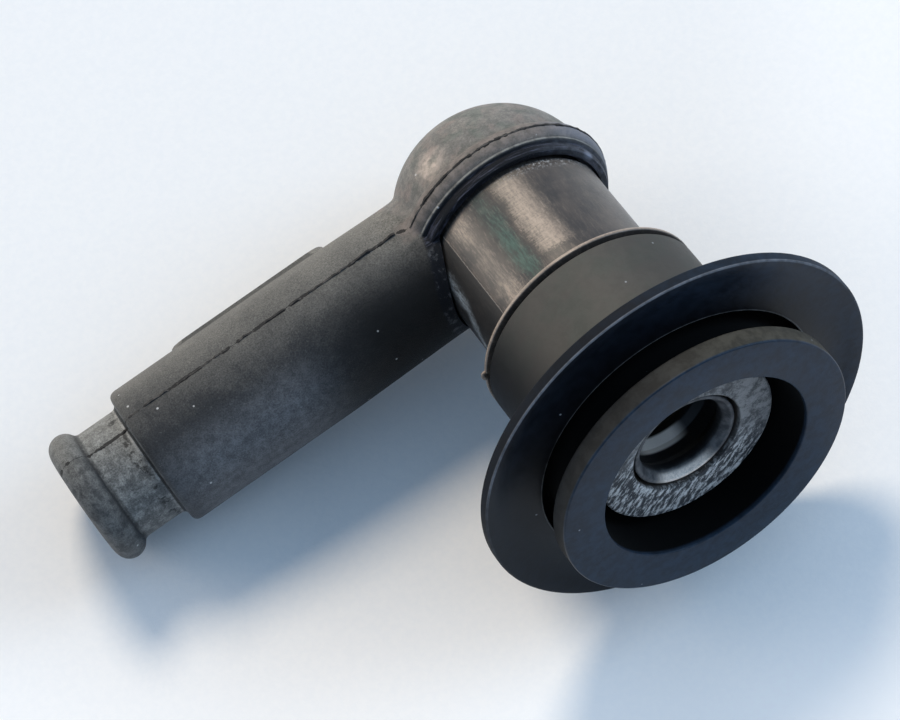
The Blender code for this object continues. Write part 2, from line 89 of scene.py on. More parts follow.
@dataclass(frozen=True)
class CapAxes:
    """Where the cap's own axes lie in the world, in metres."""

    origin: Place = (-0.017597, -0.017578, 0.013243)
    towards_lead: Place = (0.996533, 0.023303, -0.079864)
    towards_plug: Place = (0.0, 0.959971, 0.280098)

    def placing(self) -> Matrix:
        """Work out how a piece is laid down from the cap's axes.

        Returns:
            The matrix from the cap's axes to the world.
        """
        along = Vector(self.towards_lead).normalized()
        up = -Vector(self.towards_plug).normalized()
        side = up.cross(along).normalized()
        matrix = Matrix((along, side, up)).transposed().to_4x4()
        matrix.translation = Vector(self.origin)
        return matrix


def rounded(corners: list[Corner], closed: bool = False, steps: int = 5) -> list[Point]:
    """Turn a list of corners into a profile whose corners are rounded.

    Args:
        corners: Radius, height and rounding of each corner, in order.
        closed: Whether the last corner joins the first.
        steps: Facets along each rounding, which takes EDGE_SHARE of an edge at most.

    Returns:
        The profile's points as radius and height.
    """
    points: list[Point] = []
    count = len(corners)
    for index, (radius, height, rounding) in enumerate(corners):
        here = Vector((radius, height))
        if rounding <= 0 or (not closed and index in (0, count - 1)):
            points.append((radius, height))
            continue
        before = Vector(corners[index - 1][:2]) - here
        after = Vector(corners[(index + 1) % count][:2]) - here
        half = before.angle(after) / 2
        room = EDGE_SHARE * min(before.length, after.length)
        reach = min(rounding / math.tan(half), room)
        start = here + before.normalized() * reach
        finish = here + after.normalized() * reach
        to_middle = (before.normalized() + after.normalized()).normalized()
        middle = here + to_middle * (reach / math.cos(half))
        swing = math.pi - 2 * half
        for step in range(steps + 1):
            share = step / steps
            first = math.sin((1 - share) * swing) / math.sin(swing)
            second = math.sin(share * swing) / math.sin(swing)
            point = middle + (start - middle) * first + (finish - middle) * second
            points.append((point.x, point.y))
    return points


def arc(middle: Point, radius: float, start: float, end: float, steps: int = 16) -> list[Point]:
    """Return the points of an arc.

    Args:
        middle: Radius and height of the arc's centre.
        radius: The arc's own radius.
        start: Angle of the first point, in degrees.
        end: Angle of the last point, in degrees.
        steps: Facets along the arc.

    Returns:
        The arc's points as radius and height.
    """
    points = []
    for step in range(steps + 1):
        angle = math.radians(start + (end - start) * step / steps)
        across, up = radius * math.cos(angle), radius * math.sin(angle)
        points.append((middle[0] + across, middle[1] + up))
    return points


class Bench:
    """Modelling steps that the cap's pieces share, each made with Blender's own tools."""

    @staticmethod
    def clear() -> None:
        """Leave edit mode and deselect every object."""
        if bpy.context.object is not None and bpy.context.object.mode != "OBJECT":
            bpy.ops.object.mode_set(mode="OBJECT")
        bpy.ops.object.select_all(action="DESELECT")

    @staticmethod
    def settle() -> None:
        """Move the active object's place, turn and size into its mesh."""
        bpy.ops.object.transform_apply(location=True, rotation=True, scale=True)

    @classmethod
    def pick(cls, piece: Thing) -> None:
        """Select one object alone and make it active.

        Args:
            piece: The object.
        """
        cls.clear()
        piece.select_set(True)
        bpy.context.view_layer.objects.active = piece

    @classmethod
    def started(cls, name: str) -> Thing:
        """Name the primitive just added, with its place moved into its mesh.

        Args:
            name: The object's and the mesh's name.

        Returns:
            The primitive's object.
        """
        piece = bpy.context.object
        piece.name = name
        piece.data.name = name
        cls.pick(piece)
        cls.settle()
        return piece

    @classmethod
    def edit(cls, piece: Thing, kind: str = "VERT") -> None:
        """Open a piece in edit mode with nothing selected.

        Args:
            piece: The piece to edit.
            kind: What is selected next: VERT, EDGE or FACE.
        """
        cls.pick(piece)
        bpy.ops.object.mode_set(mode="EDIT")
        bpy.ops.mesh.select_mode(type=kind)
        bpy.ops.mesh.select_all(action="DESELECT")

    @classmethod
    def select_points(cls, piece: Thing, wanted: Callable[[Vector], bool]) -> int:
        """Open a piece in edit mode with the points that pass a test selected.

        Args:
            piece: The piece to edit.
            wanted: Test of a point's place in millimetres.

        Returns:
            How many points are selected.
        """
        cls.edit(piece)
        bpy.ops.object.mode_set(mode="OBJECT")
        count = 0
        for vertex in piece.data.vertices:
            vertex.select = wanted(vertex.co / MM)
            count += vertex.select
        bpy.ops.object.mode_set(mode="EDIT")
        return count

    @classmethod
    def close_pole(cls, piece: Thing, segments: int, rise: float) -> None:
        """Draw the first ring out to the axis and merge it there.

        Args:
            piece: The form, in edit mode.
            segments: Points of the ring.
            rise: Height from the ring to the pole, in metres.
        """
        bpy.ops.object.mode_set(mode="OBJECT")
        for index, vertex in enumerate(piece.data.vertices):
            vertex.select = index < segments
        bpy.ops.object.mode_set(mode="EDIT")
        bpy.ops.mesh.extrude_region_move(TRANSFORM_OT_translate={"value": (0, 0, rise)})
        bpy.ops.mesh.merge(type="CENTER")

    @classmethod
    def turned(
        cls,
        name: str,
        profile: list[Point],
        segments: int,
        axis: Axis = Axis.BARREL,
        closed: bool = False,
    ) -> Thing:
        """Draw a ring out along a profile, as on a lathe.

        Args:
            name: Name of the piece.
            profile: Radius and height of each ring in millimetres, with radius 0 at a pole.
            segments: Points round each ring.
            axis: The cap's axis that the form lies about.
            closed: Whether the last ring joins the first.

        Returns:
            The finished form in the cap's axes.
        """
        cls.clear()
        pole_first = profile[0][0] <= 0
        rings = profile[1:] if pole_first else list(profile)
        radius, height = rings[0]
        bpy.ops.mesh.primitive_circle_add(
            vertices=segments, radius=radius * MM, location=(0, 0, height * MM))
        piece = cls.started(name)
        cls.edit(piece)
        bpy.ops.mesh.select_all(action="SELECT")
        for next_radius, next_height in rings[1:] + ([rings[0]] if closed else []):
            rise = (0, 0, (next_height - height) * MM)
            bpy.ops.mesh.extrude_region_move(TRANSFORM_OT_translate={"value": rise})
            if next_radius <= 0:
                bpy.ops.mesh.merge(type="CENTER")
                break
            size = next_radius / radius
            middle = (0, 0, next_height * MM)
            bpy.ops.transform.resize(value=(size, size, 1), center_override=middle)
            radius, height = next_radius, next_height
        if pole_first:
            cls.close_pole(piece, segments, profile[0][1] * MM - rings[0][1] * MM)
        bpy.ops.mesh.select_all(action="SELECT")
        bpy.ops.mesh.remove_doubles(threshold=MERGE_DISTANCE)
        bpy.ops.mesh.normals_make_consistent(inside=False)
        bpy.ops.object.mode_set(mode="OBJECT")
        if axis is Axis.ARM:
            piece.rotation_euler = (0, math.pi / 2, 0)
            cls.settle()
        return piece

    @classmethod
    def modify(cls, piece: Thing, kind: str, **settings: object) -> None:
        """Add one modifier to a piece and apply it.

        Args:
            piece: The piece to change.
            kind: Blender's name of the modifier's type.
            settings: The modifier's own settings.
        """
        cls.pick(piece)
        modifier = piece.modifiers.new(kind.lower(), kind)
        for key, value in settings.items():
            setattr(modifier, key, value)
        bpy.ops.object.modifier_apply(modifier=modifier.name)

    @classmethod
    def combine(cls, piece: Thing, how: Cut, tool: Thing) -> None:
        """Combine a piece with another solid, and put that solid away.

        Args:
            piece: The piece that stays.
            how: Join, remove, or keep what both share.
            tool: The solid that is used up.
        """
        cls.modify(piece, "BOOLEAN", operation=how.value, object=tool, solver="EXACT")
        bpy.data.objects.remove(tool)

    @classmethod
    def joined(cls, pieces: list[Thing]) -> Thing:
        """Join several objects into the first of them.

        Args:
            pieces: The objects, the one that stays first.

        Returns:
            The joined object.
        """
        cls.pick(pieces[0])
        for piece in pieces:
            piece.select_set(True)
        bpy.ops.object.join()
        return bpy.context.object

    @classmethod
    def soften(cls, piece: Thing, wanted: Callable[[Vector], bool], passes: int) -> None:
        """Smooth the points of a piece that pass a test.

        Args:
            piece: The piece to smooth.
            wanted: Test of a point's place in millimetres.
            passes: How many times each point moves towards its neighbours.
        """
        if cls.select_points(piece, wanted):
            bpy.ops.mesh.vertices_smooth(factor=0.5, repeat=passes)
        bpy.ops.object.mode_set(mode="OBJECT")

    @classmethod
    def lay_down(
        cls,
        piece: Thing,
        axes: CapAxes,
        material: bpy.types.Material,
        sharp_turn: float = 35,
    ) -> None:
        """Shade a finished piece, lay it down in the world and give it its finish.

        Args:
            piece: The finished piece, in the cap's axes.
            axes: Where the cap's axes lie.
            material: The finish.
            sharp_turn: Edges that turn more than this, in degrees, stay sharp.
        """
        cls.pick(piece)
        piece.matrix_world = axes.placing()
        cls.settle()
        bpy.ops.object.shade_smooth_by_angle(angle=math.radians(sharp_turn))
        piece.data.materials.clear()
        piece.data.materials.append(material)


class Graph:
    """One material's nodes, with the short steps that the finishes share.

    The Mix node's colour sockets are found by their numbers.
    """

    mix_share = 0
    mix_first = 6
    mix_second = 7
    mix_result = 2

    def __init__(self, name: str, axes: CapAxes) -> None:
        """Start an empty Principled material.

        Args:
            name: The material's name.
            axes: Where the cap's axes lie, so that patterns follow the cap.
        """
        self.material = bpy.data.materials.new(name)
        self.material.use_nodes = True
        self.tree = self.material.node_tree
        self.shader = self.tree.nodes["Principled BSDF"]
        self.axes = axes
        self.colour: Value = grey(0.5)

    @cached_property
    def place(self) -> Socket:
        """Read the surface's place in the cap's axes, in millimetres.

        Returns:
            The place.
        """
        coordinates = self.node("ShaderNodeTexCoord")
        mapping = self.node("ShaderNodeMapping", vector_type="POINT")
        back = self.axes.placing().inverted()
        mapping.inputs["Location"].default_value = back.translation / MM
        mapping.inputs["Rotation"].default_value = back.to_euler()
        mapping.inputs["Scale"].default_value = (1 / MM, 1 / MM, 1 / MM)
        self.feed(mapping.inputs["Vector"], coordinates.outputs["Object"])
        return mapping.outputs["Vector"]

    @cached_property
    def parts(self) -> tuple[Socket, Socket, Socket]:
        """Return the place's reach along the arm, its side and its height."""
        return self.split(self.place)

    @cached_property
    def away(self) -> Socket:
        """Return the distance from the barrel's axis."""
        x, y, _ = self.parts
        return self.maths("SQRT", self.maths("ADD", self.times(x, x), self.times(y, y)))

    def node(self, kind: str, *values: Value, **settings: object) -> bpy.types.Node:
        """Add a node of one type.

        Args:
            kind: Blender's name of the node's type.
            values: What its first inputs are fed, in order.
            settings: The node's own settings.

        Returns:
            The node.
        """
        made = self.tree.nodes.new(kind)
        for key, value in settings.items():
            setattr(made, key, value)
        for index, value in enumerate(values):
            self.feed(made.inputs[index], value)
        return made

    def feed(self, socket: Socket, value: Value) -> None:
        """Link a socket or set a plain value.

        Args:
            socket: The input to fill.
            value: Another node's output, a number, or a colour.
        """
        if isinstance(value, Socket):
            self.tree.links.new(value, socket)
        elif isinstance(value, tuple) and socket.type == "RGBA":
            socket.default_value = (*value, 1.0)
        else:
            socket.default_value = value

    def split(self, vector: Socket) -> tuple[Socket, Socket, Socket]:
        """Return a vector's three parts."""
        parts = self.node("ShaderNodeSeparateXYZ", vector)
        return parts.outputs[0], parts.outputs[1], parts.outputs[2]

    def join(self, x: Value, y: Value, z: Value) -> Socket:
        """Return a vector made of three values."""
        return self.node("ShaderNodeCombineXYZ", x, y, z).outputs[0]

    def maths(self, how: str, *values: Value, clamp: bool = False) -> Socket:
        """Return the result of one Math node, kept between 0 and 1 if clamped."""
        made = self.node("ShaderNodeMath", *values, operation=how, use_clamp=clamp)
        return made.outputs[0]

    def times(self, first: Value, *others: Value) -> Value:
        """Return the product of values, multiplied from left to right."""
        for other in others:
            first = self.maths("MULTIPLY", first, other)
        return first

    def total(self, *weighted: tuple[Value, float]) -> Value:
        """Return the sum of values, each times its weight."""
        result: Value = 0.0
        for value, weight in weighted:
            result = self.maths("MULTIPLY_ADD", value, weight, result)
        return result

    def ramp(
        self, value: Value, low: float, high: float, start: float = 0.0, end: float = 1.0
    ) -> Socket:
        """Return a smooth step between two values.

        Args:
            value: What is measured.
            low: Where the step begins.
            high: Where the step ends.
            start: The result before the step.
            end: The result after the step.

        Returns:
            The stepped value.
        """
        made = self.node("ShaderNodeMapRange", value, low, high, start, end,
                         interpolation_type="SMOOTHSTEP")
        return made.outputs["Result"]

    def fade(self, value: Value, low: float, high: float) -> Socket:
        """Return a smooth step from 1 at the low value down to 0 at the high one."""
        return self.ramp(value, low, high, 1.0, 0.0)

    def band(self, value: Value, low: float, high: float, edge: float) -> Socket:
        """Return 1 between two values and 0 outside them, with edges of one soft width."""
        half = edge / 2
        rise = self.ramp(value, low - half, low + half)
        return self.times(rise, self.fade(value, high - half, high + half))

    def noise(
        self, vector: Socket, scale: float, detail: float = 3.0, rough: float = 0.55
    ) -> Socket:
        """Return a cloudy pattern about 0.5.

        Args:
            vector: Where the pattern is read.
            scale: Lumps a millimetre.
            detail: Levels of finer lumps.
            rough: Strength of the finer lumps.

        Returns:
            The pattern's value.
        """
        made = self.node("ShaderNodeTexNoise", noise_dimensions="3D")
        names = ("Vector", "Scale", "Detail", "Roughness")
        for name, item in zip(names, (vector, scale, detail, rough)):
            self.feed(made.inputs[name], item)
        return made.outputs[0]

    def specks(self, scale: float, size: float, share: float) -> Socket:
        """Return small scattered dots.

        Args:
            scale: Cells a millimetre.
            size: A dot's radius as a share of its cell.
            share: The share of cells that keep their dot.

        Returns:
            A mask that is 1 on a dot.
        """
        cells = self.node("ShaderNodeTexVoronoi", feature="F1")
        self.feed(cells.inputs["Vector"], self.place)
        self.feed(cells.inputs["Scale"], scale)
        dot = self.fade(cells.outputs["Distance"], size * 0.6, size)
        chance = self.split(cells.outputs["Color"])[0]
        return self.times(dot, self.maths("LESS_THAN", chance, share))

    def spot(self, middle: Place, radius: float, soft: float) -> Socket:
        """Return a soft round patch that has faded out at its radius."""
        made = self.node("ShaderNodeVectorMath", self.place, middle, operation="DISTANCE")
        return self.fade(made.outputs["Value"], radius - soft, radius)

    def blend(self, share: Value, first: Value, second: Value, how: str = "MIX") -> Socket:
        """Return a mix of two colours.

        Args:
            share: How much of the second colour shows.
            first: The colour below.
            second: The colour above.
            how: The blend's type.

        Returns:
            The mixed colour.
        """
        made = self.node("ShaderNodeMix", data_type="RGBA", blend_type=how)
        self.feed(made.inputs[self.mix_share], share)
        self.feed(made.inputs[self.mix_first], first)
        self.feed(made.inputs[self.mix_second], second)
        return made.outputs[self.mix_result]

    def coat(self, above: Value, *masks: Value) -> None:
        """Lay a colour over the colour so far, as far as all the masks together let it."""
        self.colour = self.blend(self.times(*masks), self.colour, above)

    def clouded(self, clouds: Value, dark: Colour, light: Colour) -> Socket:
        """Return the colour so far, multiplied by a cloudy pattern from dark to light."""
        return self.blend(1.0, self.colour, self.blend(clouds, dark, light), "MULTIPLY")

    def relief(self, height: Value, depth: float, strength: float = 1.0) -> None:
        """Raise the surface by a height pattern.

        Args:
            height: The pattern.
            depth: Millimetres for a height of 1.
            strength: How strongly the relief shows.
        """
        bump = self.node("ShaderNodeBump")
        names = ("Strength", "Distance", "Height")
        for name, item in zip(names, (strength, depth * MM, height)):
            self.feed(bump.inputs[name], item)
        self.feed(self.shader.inputs["Normal"], bump.outputs["Normal"])

    def shade(self, roughness: Value, **others: Value) -> None:
        """Fill the Principled shader with the colour so far and its other inputs.

        Args:
            roughness: Roughness.
            others: Further inputs, by name with underscores for spaces.
        """
        named = {"Base_Color": self.colour, "Roughness": roughness, **others}
        for name, value in named.items():
            self.feed(self.shader.inputs[name.replace("_", " ")], value)


class Finish:
    """A surface finish with a material of its own."""

    name: str

    def paint(self, g: Graph) -> None:
        """Lay the finish, which each kind does in its own way.

        Args:
            g: The material's nodes.
        """
        raise NotImplementedError

    def material(self, axes: CapAxes) -> bpy.types.Material:
        """Make the finish's material.

        Args:
            axes: Where the cap's axes lie.

        Returns:
            The material.
        """
        g = Graph(self.name, axes)
        self.paint(g)
        return g.material


@dataclass(frozen=True)
class Patterns:
    """Cloudy patterns that the steps of the jacket's finish share."""

    mid: Socket
    grain: Socket
    blot: Socket
    mottle: Socket
    upper: Socket


@dataclass(frozen=True)
class JacketRubber(Finish):
    """Dusty grey-brown rubber of the elbow, arm and rolled end, with painted light and shade.

    Each span is a stretch along the arm, up the barrel or out from it, in millimetres.
    """

    name: str = "jacket_rubber_aged"
    deep: Colour = (0.026, 0.027, 0.029)
    # Pale rubber, also the painted light on the arm's top side.
    worn_and_lit: Colour = (0.254, 0.238, 0.207)
    dust: Colour = (0.285, 0.285, 0.268)
    pale: Colour = (0.48, 0.46, 0.43)
    fleck: Colour = (0.62, 0.61, 0.59)
    crease_shade: Colour = (0.002, 0.002, 0.002)
    green: Colour = (0.088, 0.115, 0.096)
    crest: Colour = (0.190, 0.158, 0.140)
    shade_under_bead: Colour = (0.002, 0.003, 0.006)
    gleam: Colour = (0.070, 0.074, 0.105)
    sheen: Colour = (0.190, 0.205, 0.245)
    glint: Colour = (0.33, 0.36, 0.44)
    powder: Colour = (0.215, 0.218, 0.228)
    dome: Colour = (0.185, 0.172, 0.160)
    ruddy: Colour = (0.190, 0.140, 0.122)
    dome_highlight: Colour = (0.64, 0.51, 0.43)
    seam: Colour = (0.008, 0.007, 0.007)
    neck_span: Span = (49.7, 55.5)
    neck_root_shade: Span = (49.78, 50.12)
    thread_highlight_span: Span = (50.14, 50.40)
    notch_span: Span = (50.45, 51.6)
    roll_root_shade: Span = (55.15, 55.65)
    roll_start: Span = (55.5, 56.2)
    powder_span: Span = (29.0, 49.0)
    dome_span: Span = (1.2, 14.0)
    crest_span: Span = (-1.9, 0.9)
    collar_span: Span = (-9.0, -2.15)
    edge_highlight_span: Span = (-2.25, -1.95)
    pad_side: Span = (5.42, 5.72)
    pad_span: Span = (19.2, 41.0)
    pad_start: Span = (19.1, 19.4)
    pad_end: Span = (40.8, 41.1)
    dome_highlight_place: Place = (4.7, 11.9, 3.2)
    dome_highlight_core: Place = (4.9, 11.7, 3.0)
    glint_place: Place = (-12.1, 4.6, -4.1)

    def on_arm(self, g: Graph, p: Patterns) -> None:
        """Lay dust, painted shade by the elbow, and powder along the arm, its neck and its roll.

        Args:
            g: The material's nodes.
            p: The shared patterns.
        """
        x, _, z = g.parts
        blotch = g.ramp(g.total((p.blot, 0.8), (p.upper, 0.06)), 0.33, 0.52, 0.28, 0.78)
        g.coat(self.dust, g.band(x, *self.neck_span, 0.3), blotch)
        on_roll = g.ramp(x, *self.roll_start)
        g.coat(self.dust, on_roll, g.ramp(p.mid, 0.35, 0.60, 0.10, 0.34))
        flecks = g.ramp(g.noise(g.place, 2.2, 4.0, 0.7), 0.60, 0.72)
        g.coat(self.dust, flecks, 0.16)
        g.colour = g.clouded(g.ramp(p.mottle, 0.34, 0.66), grey(0.60), grey(1.42))
        # Painted shade on the arm's low side by the elbow, where the barrel shades it.
        low_side = g.fade(z, -6.6, -1.0)
        painted_crease_shade = g.times(g.fade(x, 19.0, 31.0), g.times(low_side, g.ramp(x, 5.0, 9.0)))
        g.coat(self.crease_shade, painted_crease_shade, 0.92)
        dusted = g.ramp(g.total((p.mottle, 0.6), (p.mid, 0.4)), 0.38, 0.66, 0.30, 1.0)
        powder = g.times(g.band(x, *self.powder_span, 9.0), g.fade(z, -8.2, -4.2), dusted)
        g.coat(self.powder, powder, 0.78)
        chips = g.specks(0.9, 0.085, 0.35)
        g.coat(self.dust, chips, powder, 0.8)

    def on_head(self, g: Graph, p: Patterns, dome: Value, crest: Value) -> None:
        """Lay rubbed and stained tones over the dome and the bead, and a painted highlight.

        Args:
            g: The material's nodes.
            p: The shared patterns.
            dome: Mask of the dome.
            crest: Mask of the bead's crest.
        """
        x, _, _ = g.parts
        g.coat(self.dome, dome, 0.45)
        ruddy = g.ramp(g.noise(g.place, 0.42, 3.0, 0.6), 0.48, 0.66)
        g.coat(self.ruddy, dome, ruddy, 0.40)
        # A painted highlight on the dome's left, broken up by a cloudy pattern.
        halo = g.spot(self.dome_highlight_place, 3.4, 3.0)
        core = g.spot(self.dome_highlight_core, 1.7, 1.2)
        dome_highlight = g.total((halo, 0.55), (core, 0.75))
        highlight_break = g.ramp(p.mid, 0.3, 0.6, 0.45, 0.95)
        g.coat(self.dome_highlight, g.maths("MULTIPLY", dome_highlight, highlight_break, clamp=True))
        tint = g.times(g.ramp(g.noise(g.place, 0.33, 2.0, 0.5), 0.50, 0.62), g.fade(x, 4.0, 9.0))
        g.coat(self.green, g.times(dome, tint), 0.42)
        rubbed = g.ramp(p.mid, 0.30, 0.58, 0.45, 1.0)
        g.coat(self.crest, crest, rubbed, 0.8)
        clouds = g.ramp(p.blot, 0.38, 0.62)
        cloudy = g.clouded(clouds, (0.76, 0.77, 0.76), (1.25, 1.22, 1.20))
        g.coat(cloudy, g.fade(x, 11.0, 15.0), 0.9)

    def on_collar(self, g: Graph, p: Patterns, crest: Value) -> None:
        """Lay painted shade, gleams, sheen, an edge highlight, a glint and powder below the bead.

        Args:
            g: The material's nodes.
            p: The shared patterns.
            crest: Mask of the bead's crest.
        """
        x, y, z = g.parts
        # Painted shade, nearly black, on the collar below the bead.
        below = g.times(g.band(z, *self.collar_span, 0.5), g.fade(g.away, 12.7, 13.2))
        g.coat(self.shade_under_bead, below)
        turned = g.join(g.times(g.maths("ARCTAN2", y, x), 4.0), g.away, g.times(z, 5.0))
        streak = g.times(g.ramp(g.noise(turned, 0.8, 4.0, 0.7), 0.50, 0.66), g.ramp(z, -3.9, -3.5))
        g.coat(self.gleam, g.times(below, streak), 0.75)
        damp = g.times(below, g.ramp(z, -3.7, -4.2), g.ramp(p.blot, 0.50, 0.66))
        g.coat(self.powder, damp, 0.35)
        # A painted highlight along the bead's lower edge, in the dust colour.
        edge = g.times(g.band(z, *self.edge_highlight_span, 0.12), g.ramp(g.away, 13.3, 13.1))
        g.coat(self.dust, edge, g.ramp(p.mid, 0.36, 0.60, 0.12, 0.62))
        on_right = g.times(below, g.ramp(x, -4.8, -10.4), g.ramp(p.mid, 0.35, 0.6, 0.3, 1.0))
        g.coat(self.sheen, on_right, 0.24)
        g.coat(self.sheen, crest, g.ramp(x, -7.0, -12.5), 0.62)
        glint = g.times(below, g.spot(self.glint_place, 1.7, 1.5))
        g.coat(self.glint, glint, g.ramp(p.mid, 0.30, 0.55, 0.5, 1.0))

    def on_lines(self, g: Graph, p: Patterns) -> None:
        """Draw painted shade in the corners and at the pad's foot, and the cracked parting line.

        Args:
            g: The material's nodes.
            p: The shared patterns.
        """
        x, y, z = g.parts
        wander = g.noise(g.place, 1.1, 4.0, 0.7)
        to_crest = g.ramp(x, 9.8, 12.4, 0.6, 0.0)
        height = g.total((z, 1.0), (to_crest, 1.0), (wander, 0.42), (1.0, -0.21))
        stretched = g.join(x, g.times(y, 0.4), 3.0)
        broken = g.ramp(g.noise(stretched, 0.46, 2.0, 0.6), 0.47, 0.53)
        width = g.total((broken, 0.21), (g.noise(g.place, 3.2, 2.0, 0.6), 0.16), (1.0, -0.05))
        line = g.maths("LESS_THAN", g.maths("ABSOLUTE", height), width)
        on_seam = g.maths("MAXIMUM", g.ramp(x, 9.9, 10.3), g.ramp(g.away, 13.1, 13.3))

        crumbs, nicks = g.noise(g.place, 1.1, 3.0, 0.7), g.noise(g.place, 0.8, 3.0, 0.7)
        # Painted shade in the corners at the neck's and the roll's roots, dark nicks on the neck,
        # and a painted highlight on the step by the neck's root.
        corners = (
            (self.seam, self.neck_root_shade, 0.12, g.ramp(crumbs, 0.30, 0.45), 0.85),
            (self.seam, self.roll_root_shade, 0.35, g.ramp(p.mid, 0.30, 0.55, 0.45, 1.0), 0.62),
            (self.seam, self.notch_span, 0.5, g.ramp(nicks, 0.52, 0.60), 0.7),
            (self.pale, self.thread_highlight_span, 0.10, g.ramp(p.blot, 0.40, 0.56), 0.34),
        )
        for above, span, edge, broken_up, strength in corners:
            g.coat(above, g.times(g.band(x, *span, edge), broken_up), strength)

        # Painted shade along the foot of the raised pad's sides and ends.
        from_middle = g.maths("ABSOLUTE", y)
        sides = g.times(g.band(from_middle, *self.pad_side, 0.12), g.band(x, *self.pad_span, 0.3))
        ends = g.maths("MAXIMUM", g.band(x, *self.pad_start, 0.12), g.band(x, *self.pad_end, 0.12))
        ends = g.times(ends, g.fade(from_middle, 5.4, 5.6))
        pad_foot_shade = g.times(g.maths("MAXIMUM", sides, ends), g.ramp(z, 4.0, 6.0))
        g.coat(self.deep, pad_foot_shade, 0.55)
        g.coat(self.seam, g.times(line, on_seam), 0.9)

    def paint(self, g: Graph) -> None:
        """Lay the finish.

        Args:
            g: The material's nodes.
        """
        x, _, z = g.parts
        p = Patterns(
            mid=g.noise(g.place, 0.9, 4.0, 0.6),
            grain=g.noise(g.place, 5.5, 3.0, 0.7),
            blot=g.noise(g.place, 0.85, 6.0, 0.74),
            mottle=g.noise(g.place, 5.2, 5.0, 0.82),
            upper=g.ramp(z, -8.5, 7.5),
        )
        broad = g.noise(g.place, 0.16, 3.0, 0.5)
        # Random tone, plus painted light on the top side and painted shade below, by the upper
        # share.
        tone = g.total((p.upper, 0.64), (broad, 0.42), (p.mid, 0.26), (p.grain, 0.38),
                       (x, -0.0065), (1.0, -0.37))
        dome = g.times(g.band(z, *self.dome_span, 1.5), g.fade(g.away, 13.3, 13.9))
        round_barrel = g.times(g.ramp(g.away, 12.7, 13.1), g.fade(g.away, 14.2, 15.2))
        crest = g.times(g.band(z, *self.crest_span, 0.8), round_barrel)

        g.colour = g.blend(g.maths("MULTIPLY", tone, 1.0, clamp=True), self.deep, self.worn_and_lit)
        self.on_arm(g, p)
        self.on_head(g, p, dome, crest)
        self.on_collar(g, p, crest)
        self.on_lines(g, p)
        g.coat(self.fleck, g.specks(0.36, 0.065, 0.50), 0.7)
        g.relief(g.total((p.grain, 0.5), (p.mottle, 0.9), (p.mid, 0.6)), 0.10, 0.85)
        rough = g.total((tone, 0.14), (p.mottle, 0.16), (dome, -0.13), (1.0, 0.46))
        g.shade(rough, Specular_IOR_Level=0.22)


@dataclass(frozen=True)
class FlashRubber(Finish):
    """Ragged dark edge of rubber left where the halves of the mould met."""

    name: str = "flash_rubber"
    dark: Colour = (0.022, 0.020, 0.019)
    pale: Colour = (0.075, 0.068, 0.062)

    def paint(self, g: Graph) -> None:
        """Lay the finish.

        Args:
            g: The material's nodes.
        """
        patch = g.ramp(g.noise(g.place, 0.9, 3.0, 0.6), 0.45, 0.65)
        g.relief(g.noise(g.place, 9.0, 3.0, 0.7), 0.05, 0.8)
        g.colour = g.blend(patch, self.dark, self.pale)
        g.shade(0.75, Specular_IOR_Level=0.3)


@dataclass(frozen=True)
class Scratches:
    """Measures and patterns that the steps of the barrel's finish share."""

    edge_angle: Socket
    scratch: Socket
    cloud: Socket
    fine: Socket
    streak: Socket
    crumb: Socket


